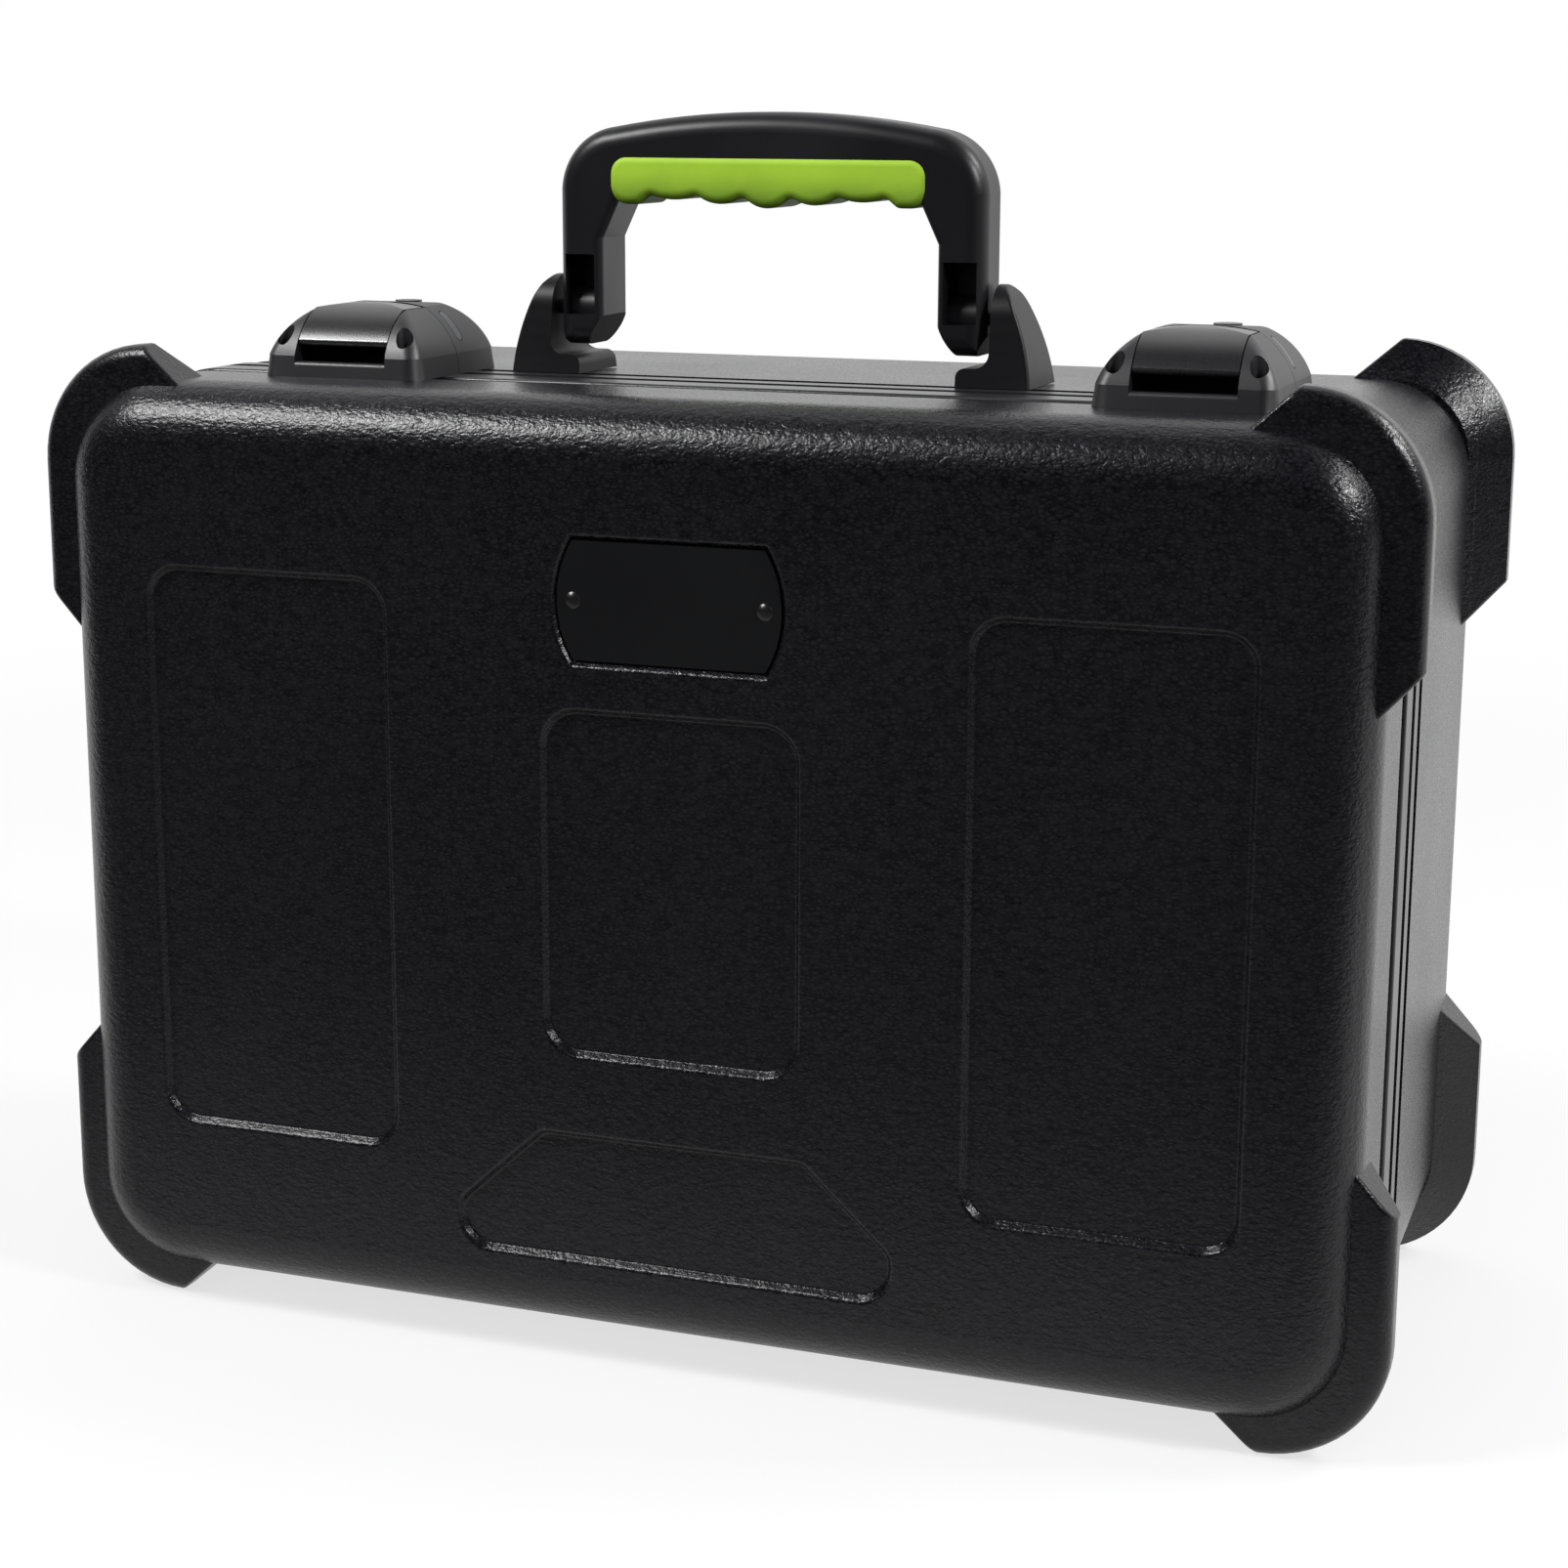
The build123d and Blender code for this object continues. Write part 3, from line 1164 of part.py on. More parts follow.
def lid_foam():
    front = SHELL_WALL + PANEL_DEPTH + FOAM_CLEARANCE
    pad = prism(foam_outline(), front, LID_FOAM_TOP)
    return fillet(front_edges(pad), LID_FOAM_ROUND)


# ---- Assembly ------------------------------------------------------------------------
def build_case():
    save("lid_shell", lid_shell())
    save("base_shell", base_shell())
    save("lid_valance", lid_valance())
    save("base_valance", base_valance())
    save("gasket", gasket())
    save("badge_plate", badge_plate())
    save("badge_rivets", badge_rivets())


def build_handle():
    front, rear = handle_halves()
    save("handle_front", front)
    save("handle_rear", rear)
    save("handle_grip", handle_grip())
    save("handle_screws", Part() + handle_screw_solids())
    save("handle_pins", Part() + handle_pin_rods())
    save("bracket_screws", bracket_screws())
    for name, side in SIDES.items():
        save("handle_bracket_" + name, bracket(side))


def build_latches():
    front = latch_front_housing()
    rear = latch_rear_housing()
    arm = lever()
    plug = lock_plug()
    for name, centre in LATCH_CENTRES.items():
        save("latch_front_" + name, Pos(centre, 0, 0) * front)
        save("latch_rear_" + name, Pos(centre, 0, 0) * rear)
        save("latch_lever_" + name, Pos(centre, 0, 0) * arm)
        save("latch_lock_" + name, Pos(centre, 0, 0) * plug)
    centres = LATCH_CENTRES.values()
    save("latch_pins", Part() + [Pos(centre, 0, 0) * lever_pin() for centre in centres])
    save("latch_keepers", Part() + [Pos(centre, 0, 0) * keeper() for centre in centres])
    save("latch_insets", Part() + [Pos(centre, 0, 0) * latch_inset() for centre in centres])
    save("latch_screws", latch_screws())


def build_hinges():
    for part in ("lid", "base"):
        for name, side in SIDES.items():
            save("hinge_leaf_" + part + "_" + name, hinge_leaf(part, side * HINGE_SPACING / 2))
        save("hinge_rivets_" + part, hinge_rivets(part))
    save("hinge_pins", hinge_pins())


def build_foam():
    save("foam_rails", foam_rails())
    for row in range(DROP_ROWS):
        save("foam_row_" + str(row + 1), foam_row(row))
    save("foam_bay_wall", foam_bay_wall())
    save("foam_base_pad", foam_base_pad())
    save("lid_foam", lid_foam())


build_case()
build_handle()
build_latches()
build_hinges()
build_foam()
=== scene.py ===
"""Looks, foam and studio for a moulded microphone case with two latches and a handle.

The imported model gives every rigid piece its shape. This script dresses each of them,
makes the foam that fills the case, and sets up the floor, the lamps and the camera.
"""

import json
import logging
import math
from dataclasses import dataclass
from enum import Enum
from typing import Any, Callable, Optional, Sequence, Union

import bpy
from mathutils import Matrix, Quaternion, Vector


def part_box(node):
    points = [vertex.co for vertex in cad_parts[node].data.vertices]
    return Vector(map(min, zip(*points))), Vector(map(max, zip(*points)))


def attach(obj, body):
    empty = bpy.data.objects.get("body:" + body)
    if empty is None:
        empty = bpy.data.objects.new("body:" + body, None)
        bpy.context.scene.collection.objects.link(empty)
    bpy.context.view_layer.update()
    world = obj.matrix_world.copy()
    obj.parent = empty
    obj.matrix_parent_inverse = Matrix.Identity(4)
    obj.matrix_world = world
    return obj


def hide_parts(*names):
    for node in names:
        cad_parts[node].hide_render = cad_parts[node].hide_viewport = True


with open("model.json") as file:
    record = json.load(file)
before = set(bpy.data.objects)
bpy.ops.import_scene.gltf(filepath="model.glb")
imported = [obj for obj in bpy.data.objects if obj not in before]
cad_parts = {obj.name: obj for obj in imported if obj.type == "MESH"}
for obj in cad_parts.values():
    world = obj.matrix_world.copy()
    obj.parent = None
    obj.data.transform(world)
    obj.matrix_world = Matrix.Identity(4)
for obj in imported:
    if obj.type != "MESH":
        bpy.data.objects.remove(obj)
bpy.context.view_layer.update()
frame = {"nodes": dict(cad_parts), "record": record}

LOG = logging.getLogger("microphone_case")
MM = 0.001
TOUCH = 0.01 * MM

Number = Union[int, float]
Colour = tuple[float, float, float]
Triple = tuple[float, float, float]

ORIGIN: Triple = (0.0, 0.0, 0.0)
WHITE = (1.0, 1.0, 1.0, 1.0)


class Body(str, Enum):
    """The two halves of the case, which carry the foam."""

    BASE = "base"
    LID = "lid"


class Slot(str, Enum):
    """Material slots of the case's record."""

    SHELL = "moulded_shell"
    BAND = "black_anodised"
    SEAL = "seal_rubber"
    BADGE = "badge_black"
    GRIP = "grip_green"
    HANDLE = "handle_black"
    BRACKET = "bracket_black"
    LATCH = "latch_body"
    LEVER = "lever_gloss"
    LOCK = "lock_black"
    FOAM = "foam"
    FASTENER = "fastener_black"
    HINGE = "hinge_black"
    STEEL = "steel"


# ---- Shader expressions ----------------------------------------------------------------
class Field:
    """A number that varies over a surface. Sums and products of fields add Math nodes."""

    def __init__(self, graph: "ShaderGraph", socket: bpy.types.NodeSocket) -> None:
        """Wrap the socket that carries the number.

        Args:
            graph: The graph that the socket belongs to.
            socket: The output that gives the number.
        """
        self.graph = graph
        self.socket = socket

    def _math(self, operation: str, *values: Any, clamp: bool = False) -> "Field":
        """Return the field that one Math node gives.

        Args:
            operation: The node's operation.
            values: The node's inputs, in order, as fields or plain numbers.
            clamp: Whether the result stays between 0 and 1.

        Returns:
            The result as a field.
        """
        node = self.graph.node(
            "ShaderNodeMath",
            {"operation": operation, "use_clamp": clamp},
            dict(enumerate(values)),
        )
        return Field(self.graph, node.outputs[0])

    def __add__(self, other: Any) -> "Field":
        """Return the sum."""
        return self._math("ADD", self, other)

    def __radd__(self, other: Any) -> "Field":
        """Return the sum with a plain number on the left."""
        return self._math("ADD", other, self)

    def __sub__(self, other: Any) -> "Field":
        """Return the difference."""
        return self._math("SUBTRACT", self, other)

    def __rsub__(self, other: Any) -> "Field":
        """Return the difference with a plain number on the left."""
        return self._math("SUBTRACT", other, self)

    def __mul__(self, other: Any) -> "Field":
        """Return the product."""
        return self._math("MULTIPLY", self, other)

    def __rmul__(self, other: Any) -> "Field":
        """Return the product with a plain number on the left."""
        return self._math("MULTIPLY", other, self)

    def __pow__(self, other: Any) -> "Field":
        """Return the power."""
        return self._math("POWER", self, other)

    def __rpow__(self, other: Any) -> "Field":
        """Return the power of a plain number on the left."""
        return self._math("POWER", other, self)

    def clamped(self) -> "Field":
        """Return the field held between 0 and 1."""
        return self._math("ADD", self, 0.0, clamp=True)

    def ramp(self, low: Number, high: Number) -> "Field":
        """Return a smooth step.

        Args:
            low: The value at which the step is 0.
            high: The value at which the step is 1; below low for a falling step.

        Returns:
            A field from 0 to 1.
        """
        flip = high < low
        node = self.graph.node(
            "ShaderNodeMapRange",
            {"interpolation_type": "SMOOTHSTEP"},
            {
                "Value": self,
                "From Min": min(low, high),
                "From Max": max(low, high),
                "To Min": 1.0 if flip else 0.0,
                "To Max": 0.0 if flip else 1.0,
            },
        )
        return Field(self.graph, node.outputs["Result"])


class ShaderGraph:
    """The node tree of one material or of the world."""

    def __init__(self, tree: bpy.types.NodeTree) -> None:
        """Start with an empty tree.

        Args:
            tree: The node tree to fill.
        """
        self.tree = tree
        tree.nodes.clear()

    def node(
        self, kind: str, settings: dict[str, Any], inputs: dict[Any, Any]
    ) -> bpy.types.Node:
        """Add a node of any type.

        Args:
            kind: The node's type.
            settings: Attributes of the node, which are set first.
            inputs: Values, fields or sockets for its inputs, by name or number.

        Returns:
            The new node.
        """
        node = self.tree.nodes.new(kind)
        for name, value in settings.items():
            setattr(node, name, value)
        for key, value in inputs.items():
            if isinstance(value, Field):
                value = value.socket
            if isinstance(value, bpy.types.NodeSocket):
                self.tree.links.new(value, node.inputs[key])
            else:
                node.inputs[key].default_value = value
        return node

    def place(self) -> bpy.types.NodeSocket:
        """Return the object coordinates, in metres."""
        return self.node("ShaderNodeTexCoord", {}, {}).outputs["Object"]

    def stretched(self, scale: Triple, offset: Triple = ORIGIN) -> bpy.types.NodeSocket:
        """Return object coordinates scaled along each axis.

        Args:
            scale: Repeats per metre along X, Y and Z.
            offset: Shift of the pattern, in its own units.

        Returns:
            The socket of the scaled place.
        """
        node = self.node(
            "ShaderNodeMapping", {}, {"Vector": self.place(), "Location": offset, "Scale": scale}
        )
        return node.outputs["Vector"]

    def axis(self, name: str) -> Field:
        """Return one object coordinate, in metres, by its axis name."""
        parts = self.node("ShaderNodeSeparateXYZ", {}, {"Vector": self.place()})
        return Field(self, parts.outputs[name])

    def noise(
        self, scale: Triple, detail: float = 2.0, rough: float = 0.5, offset: Triple = ORIGIN
    ) -> Field:
        """Return soft noise around 0.5.

        Args:
            scale: Repeats per metre along X, Y and Z.
            detail: Octaves of finer noise.
            rough: Strength of each finer octave.
            offset: Shift of the pattern.

        Returns:
            The noise as a field.
        """
        node = self.node(
            "ShaderNodeTexNoise",
            {"noise_dimensions": "3D"},
            {
                "Vector": self.stretched(scale, offset),
                "Scale": 1.0,
                "Detail": detail,
                "Roughness": rough,
            },
        )
        return Field(self, node.outputs["Fac"])

    def cells(self, scale: Triple, feature: str = "F1", offset: Triple = ORIGIN) -> Field:
        """Return the distance field of scattered cells.

        Args:
            scale: Cells per metre along X, Y and Z.
            feature: Which distance the pattern gives.
            offset: Shift of the pattern.

        Returns:
            The distance as a field.
        """
        node = self.node(
            "ShaderNodeTexVoronoi",
            {"voronoi_dimensions": "3D", "feature": feature},
            {"Vector": self.stretched(scale, offset), "Scale": 1.0, "Randomness": 1.0},
        )
        return Field(self, node.outputs["Distance"])

    def blend(self, amount: Field, first: Colour, second: Colour) -> bpy.types.NodeSocket:
        """Return a colour between two others.

        Args:
            amount: 0 for the first colour and 1 for the second.
            first: The first colour.
            second: The second colour.

        Returns:
            The socket of the mixed colour.
        """
        node = self.node(
            "ShaderNodeMix",
            {"data_type": "RGBA", "clamp_factor": True},
            {0: amount, 6: (*first, 1.0), 7: (*second, 1.0)},
        )
        return node.outputs[2]

    def bump(
        self, height: Field, depth: float, under: Optional[bpy.types.NodeSocket] = None
    ) -> bpy.types.NodeSocket:
        """Return a surface normal disturbed by a height field.

        Args:
            height: Height from 0 to 1.
            depth: Size of a full step of the height, in metres.
            under: Normal of a coarser pattern below this one.

        Returns:
            The socket of the normal.
        """
        inputs: dict[str, Any] = {"Height": height, "Distance": depth, "Strength": 1.0}
        if under is not None:
            inputs["Normal"] = under
        return self.node("ShaderNodeBump", {}, inputs).outputs["Normal"]


def new_material(name: str) -> tuple[bpy.types.Material, ShaderGraph]:
    """Make an empty material.

    Args:
        name: The material's name.

    Returns:
        The material and the graph that fills it.
    """
    material = bpy.data.materials.new(name)
    material.use_nodes = True
    return material, ShaderGraph(material.node_tree)


# ---- Finishes --------------------------------------------------------------------------
@dataclass(frozen=True)
class Finish:
    """What every surface of the case has: a colour, a gloss and a name."""

    name: str
    colour: Colour
    # second colour: random tone on every finish, and also painted shade on the shell grain, in the
    # foam bubbles and under the grip
    tone_and_shade_colour: Colour
    roughness: float
    specular: float = 0.5
    metallic: float = 0.0

    def material(self) -> bpy.types.Material:
        """Build the material.

        Returns:
            A finished material with its shader linked to the output.
        """
        material, graph = new_material(self.name)
        inputs = {
            "Metallic": self.metallic,
            "Specular IOR Level": self.specular,
            **self.pattern(graph),
        }
        shader = graph.node("ShaderNodeBsdfPrincipled", {}, inputs)
        graph.node("ShaderNodeOutputMaterial", {}, {"Surface": shader.outputs["BSDF"]})
        return material

    def pattern(self, graph: ShaderGraph) -> dict[str, Any]:
        """Return what varies over the surface, as inputs of the shader.

        Args:
            graph: The graph to add nodes to.

        Returns:
            Values for Base Color, Roughness and Normal.
        """
        raise NotImplementedError


@dataclass(frozen=True)
class MouldedGrain(Finish):
    """Tough moulded plastic with a leather grain drawn out along the width.

    The grain is creases round swollen cells, with pores over both; its colour has painted shade,
    darker in the creases and lighter on the cells. It is shallower on the corner bumpers, which
    lie outside the half width and half height of the plain shell.
    """

    wrinkle_length: float = 2.3 * MM
    wrinkle_height: float = 1.3 * MM
    wrinkle_depth: float = 0.12 * MM
    crease_width: float = 0.36
    crease_share: float = 0.35
    crease_gaps: float = 0.4
    pore_size: float = 0.9 * MM
    pore_depth: float = 0.03 * MM
    cloud_scale: Triple = (9.0, 9.0, 9.0)
    shell_half_width: float = 222.4 * MM
    shell_half_height: float = 156.8 * MM
    shell_centre: float = 167.6 * MM
    bumper_edge: tuple[float, float] = (1.0, 1.004)
    bumper_grain: float = 0.45

    def bumper_share(self, graph: ShaderGraph) -> Field:
        """Return 1 on the corner bumpers, which stand proud of the shell, and 0 elsewhere."""
        x = graph.axis("X") * (1.0 / self.shell_half_width)
        z = (graph.axis("Z") - self.shell_centre) * (1.0 / self.shell_half_height)
        beside = (x * x).ramp(*self.bumper_edge)
        above = (z * z).ramp(*self.bumper_edge)
        return 1.0 - (1.0 - beside) * (1.0 - above)

    def pattern(self, graph: ShaderGraph) -> dict[str, Any]:
        """Return the grain, its sheen, painted shade that darkens the creases and lightens the
        cells, and a slight unevenness of colour.

        Args:
            graph: The graph to add nodes to.

        Returns:
            Values for Base Color, Roughness and Normal.
        """
        fine = Vector((1.0 / self.wrinkle_length, *(1.0 / self.wrinkle_height,) * 2))
        edges = graph.cells(tuple(fine), "DISTANCE_TO_EDGE", (3.1, 7.7, 1.3))
        whole = graph.noise(tuple(fine * 0.5), 2.0, 0.6).ramp(0.35, 0.6)
        kept = whole * self.crease_gaps + (1.0 - self.crease_gaps)
        creases = 1.0 - (1.0 - edges.ramp(0.0, self.crease_width)) * kept
        swell = graph.noise(tuple(fine * 0.8), 2.0, 0.5, (6.0, 1.0, 2.0)).ramp(0.3, 0.7)
        pores = graph.noise((1.0 / self.pore_size,) * 3, 2.0, 0.6, (9.0, 2.0, 4.0)).ramp(0.3, 0.7)
        cloud = graph.noise(self.cloud_scale, 3.0, 0.5, (1.0, 5.0, 2.0)).ramp(0.35, 0.7)
        height = creases * self.crease_share + swell * (1.0 - self.crease_share)
        height = height * (1.0 - self.bumper_share(graph) * (1.0 - self.bumper_grain))
        # painted shade: the colour is darker in the creases and lighter on the high cells; the
        # cloud adds random tone
        crease_shade_and_tone = creases * 0.75 + height.ramp(0.3, 0.8) * 0.15 + cloud * 0.1
        under = graph.bump(height, self.wrinkle_depth)
        return {
            "Base Color": graph.blend(crease_shade_and_tone, self.colour, self.tone_and_shade_colour),
            "Roughness": self.roughness + cloud * 0.04 + (pores - 0.5) * 0.08,
            "Normal": graph.bump(pores, self.pore_depth, under),
        }


@dataclass(frozen=True)
class SatinPlastic(Finish):
    """Fine satin moulding with a faint sand texture."""

    grain_size: float = 0.5 * MM
    grain_depth: float = 0.02 * MM
    flow: float = 0.06
    flow_scale: Triple = (22.0, 30.0, 14.0)

    def pattern(self, graph: ShaderGraph) -> dict[str, Any]:
        """Return a fine sand texture and soft flow marks.

        Args:
            graph: The graph to add nodes to.

        Returns:
            Values for Base Color, Roughness and Normal.
        """
        sand = graph.noise((1.0 / self.grain_size,) * 3, 2.0, 0.6)
        flow = graph.noise(self.flow_scale, 3.0, 0.5, (4.0, 1.0, 8.0)).ramp(0.3, 0.75)
        return {
            "Base Color": graph.blend(flow * 0.7 + sand * 0.3, self.colour, self.tone_and_shade_colour),
            "Roughness": self.roughness + flow * self.flow + (sand - 0.5) * 0.08,
            "Normal": graph.bump(sand, self.grain_depth),
        }


@dataclass(frozen=True)
class CoatedMetal(Finish):
    """Metal under black anodising or paint, with the faint lines of drawing or casting."""

    line_pitch: float = 0.25 * MM
    line_length: float = 25.0 * MM
    line_depth: float = 0.006 * MM
    peel_scale: Triple = (650.0, 650.0, 650.0)
    patch_scale: Triple = (18.0, 18.0, 18.0)

    def pattern(self, graph: ShaderGraph) -> dict[str, Any]:
        """Return drawn lines, a slight orange peel and a few duller patches.

        Args:
            graph: The graph to add nodes to.

        Returns:
            Values for Base Color, Roughness and Normal.
        """
        along = 1.0 / self.line_length
        lines = graph.noise((along, 1.0 / self.line_pitch, along), 2.0, 0.5)
        peel = graph.noise(self.peel_scale, 1.0, 0.5, (2.0, 6.0, 1.0))
        dull = graph.noise(self.patch_scale, 3.0, 0.55, (5.0, 3.0, 9.0)).ramp(0.4, 0.7)
        return {
            "Base Color": graph.blend(dull, self.colour, self.tone_and_shade_colour),
            "Roughness": self.roughness + dull * 0.06 + (lines - 0.5) * 0.1,
            "Normal": graph.bump(lines * 0.4 + peel * 0.6, self.line_depth),
        }


@dataclass(frozen=True)
class SoftRubber(Finish):
    """Matt rubber of the grip and the seal, with painted shade that may darken it from one height
    to a lower one.
    """

    pore_size: float = 0.35 * MM
    pore_depth: float = 0.03 * MM
    bloom_scale: Triple = (60.0, 60.0, 60.0)
    shade_strength: float = 0.7
    shade_top: float = 0.0
    shade_bottom: float = 0.0

    def pattern(self, graph: ShaderGraph) -> dict[str, Any]:
        """Return a matt skin with fine pores, and painted shade towards the bottom where the two
        heights are set.

        Args:
            graph: The graph to add nodes to.

        Returns:
            Values for Base Color, Roughness and Normal.
        """
        pores = graph.noise((1.0 / self.pore_size,) * 3, 2.0, 0.6)
        bloom = graph.noise(self.bloom_scale, 3.0, 0.5, (7.0, 1.0, 3.0)).ramp(0.3, 0.7)
        shade = bloom * 0.12 + pores * 0.1
        # painted shade: the colour darkens from the upper height down to the lower one
        if self.shade_top > self.shade_bottom:
            shade = shade + graph.axis("Z").ramp(self.shade_top, self.shade_bottom) * self.shade_strength
        return {
            "Base Color": graph.blend(shade, self.colour, self.tone_and_shade_colour),
            "Roughness": self.roughness + (pores - 0.5) * 0.1,
            "Normal": graph.bump(pores, self.pore_depth),
        }


@dataclass(frozen=True)
class CutFoam(Finish):
    """Closed-cell foam cut by a hot wire or a blade, with open bubbles on its faces."""

    cell_size: float = 0.9 * MM
    cell_depth: float = 0.35 * MM
    fine_cells: float = 2.3
    wave_depth: float = 0.8 * MM
    wave_scale: Triple = (35.0, 35.0, 35.0)

    def pattern(self, graph: ShaderGraph) -> dict[str, Any]:
        """Return bubbles of two sizes, painted shade in their hollows, and a slight unevenness.

        Args:
            graph: The graph to add nodes to.

        Returns:
            Values for Base Color, Roughness and Normal.
        """
        coarse = graph.cells((1.0 / self.cell_size,) * 3)
        fine = graph.cells((self.fine_cells / self.cell_size,) * 3, "F1", (3.0, 1.0, 2.0))
        waves = graph.noise(self.wave_scale, 2.0, 0.5, (1.0, 2.0, 3.0))
        bubbles = coarse * 0.6 + fine * 0.4
        under = graph.bump(waves, self.wave_depth)
        return {
            # painted shade: the colour is darker in the bubble hollows that the bump makes
            "Base Color": graph.blend(bubbles.ramp(0.15, 0.6), self.colour, self.tone_and_shade_colour),
            "Roughness": self.roughness + (fine - 0.4) * 0.1,
            "Normal": graph.bump(bubbles, self.cell_depth, under),
        }


class Finishes:
    """One finish for each material slot of the case."""

    def __init__(self) -> None:
        """List the finishes and build no material yet."""
        grip_low, grip_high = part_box("handle_grip")
        self._made: dict[Finish, bpy.types.Material] = {}
        self._of_nodes: dict[str, Finish] = {
            "latch_insets": SatinPlastic(
                "inset_grey",
                colour=(0.02, 0.021, 0.026),
                tone_and_shade_colour=(0.032, 0.033, 0.04),
                roughness=0.3,
                flow=0.02,
            ),
        }
        self._finishes: dict[Slot, Finish] = {
            Slot.SHELL: MouldedGrain(
                "shell_grain",
                colour=(0.0001, 0.0001, 0.0008),
                # lighter colour of the cells, which with the darker crease colour paints shade into
                # the grain
                tone_and_shade_colour=(0.0104, 0.01, 0.014),
                roughness=0.27,
                specular=0.42,
            ),
            Slot.BAND: CoatedMetal(
                "band_anodised",
                colour=(0.012, 0.012, 0.014),
                tone_and_shade_colour=(0.022, 0.022, 0.025),
                roughness=0.3,
                specular=0.6,
            ),
            Slot.SEAL: SoftRubber(
                "seal_rubber",
                colour=(0.012, 0.012, 0.012),
                tone_and_shade_colour=(0.02, 0.02, 0.02),
                roughness=0.7,
                specular=0.3,
            ),
            Slot.BADGE: SatinPlastic(
                "badge_plain",
                colour=(0.005, 0.0052, 0.006),
                tone_and_shade_colour=(0.0065, 0.0068, 0.0075),
                roughness=0.32,
                specular=0.3,
                flow=0.02,
            ),
            Slot.GRIP: SoftRubber(
                "grip_lime",
                colour=(0.385, 0.63, 0.034),
                # dark green of the painted shade under the grip, also used faintly for random
                # mottling
                tone_and_shade_colour=(0.045, 0.11, 0.005),
                roughness=0.55,
                specular=0.35,
                # painted shade darkens the lower three quarters of the grip
                shade_top=grip_low.z + 0.75 * (grip_high.z - grip_low.z),
                shade_bottom=grip_low.z,
            ),
            Slot.HANDLE: SatinPlastic(
                "handle_satin",
                colour=(0.0045, 0.0045, 0.0058),
                tone_and_shade_colour=(0.008, 0.008, 0.0098),
                roughness=0.36,
                specular=0.42,
            ),
            Slot.BRACKET: CoatedMetal(
                "bracket_paint",
                colour=(0.0035, 0.0035, 0.0045),
                tone_and_shade_colour=(0.006, 0.006, 0.0075),
                roughness=0.42,
                specular=0.3,
            ),
            Slot.LATCH: SatinPlastic(
                "latch_satin",
                colour=(0.0055, 0.0055, 0.0072),
                tone_and_shade_colour=(0.009, 0.009, 0.0115),
                roughness=0.42,
                specular=0.8,
            ),
            Slot.LEVER: SatinPlastic(
                "lever_gloss",
                colour=(0.007, 0.007, 0.008),
                tone_and_shade_colour=(0.01, 0.01, 0.012),
                roughness=0.27,
                specular=1.0,
                grain_depth=0.004 * MM,
                flow=0.03,
            ),
            Slot.LOCK: CoatedMetal(
                "lock_black",
                colour=(0.02, 0.02, 0.02),
                tone_and_shade_colour=(0.035, 0.035, 0.035),
                roughness=0.28,
                specular=0.6,
            ),
            Slot.FOAM: CutFoam(
                "foam_charcoal",
                colour=(0.022, 0.022, 0.024),
                tone_and_shade_colour=(0.045, 0.045, 0.048),
                roughness=0.85,
                specular=0.2,
            ),
            Slot.FASTENER: CoatedMetal(
                "fastener_black",
                colour=(0.006, 0.006, 0.006),
                tone_and_shade_colour=(0.012, 0.012, 0.012),
                roughness=0.3,
                specular=0.6,
            ),
            Slot.HINGE: CoatedMetal(
                "hinge_black",
                colour=(0.014, 0.014, 0.014),
                tone_and_shade_colour=(0.028, 0.028, 0.028),
                roughness=0.4,
                specular=0.55,
            ),
            Slot.STEEL: CoatedMetal(
                "steel_drawn",
                colour=(0.52, 0.52, 0.53),
                tone_and_shade_colour=(0.4, 0.4, 0.41),
                roughness=0.28,
                metallic=1.0,
            ),
        }

    def of(self, slot: Slot, node: str = "") -> bpy.types.Material:
        """Return a slot's material, or a node's own where it has one, built once.

        Args:
            slot: The slot that is asked for.
            node: The node that wears it.

        Returns:
            The material.
        """
        finish = self._of_nodes.get(node, self._finishes[slot])
        if finish not in self._made:
            self._made[finish] = finish.material()
        return self._made[finish]


# ---- Rigid pieces ----------------------------------------------------------------------
class RigidPieces:
    """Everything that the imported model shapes: shells, bands, latches, handle and hinges."""

    def __init__(self, finishes: Finishes) -> None:
        """Read which slot each node has.

        Args:
            finishes: The finishes of the slots.
        """
        self.finishes = finishes
        self.slots = {
            row["node"]: Slot(row["material_slot"]) for row in frame["record"]["subparts"]
        }

    def dress(self) -> None:
        """Give each node its slot's material."""
        for name, node in frame["nodes"].items():
            material = self.finishes.of(self.slots[name], name)
            if not node.data.materials:
                node.data.materials.append(material)
            for index in range(len(node.material_slots)):
                node.material_slots[index].material = material
        LOG.info("dressed %d rigid pieces", len(frame["nodes"]))


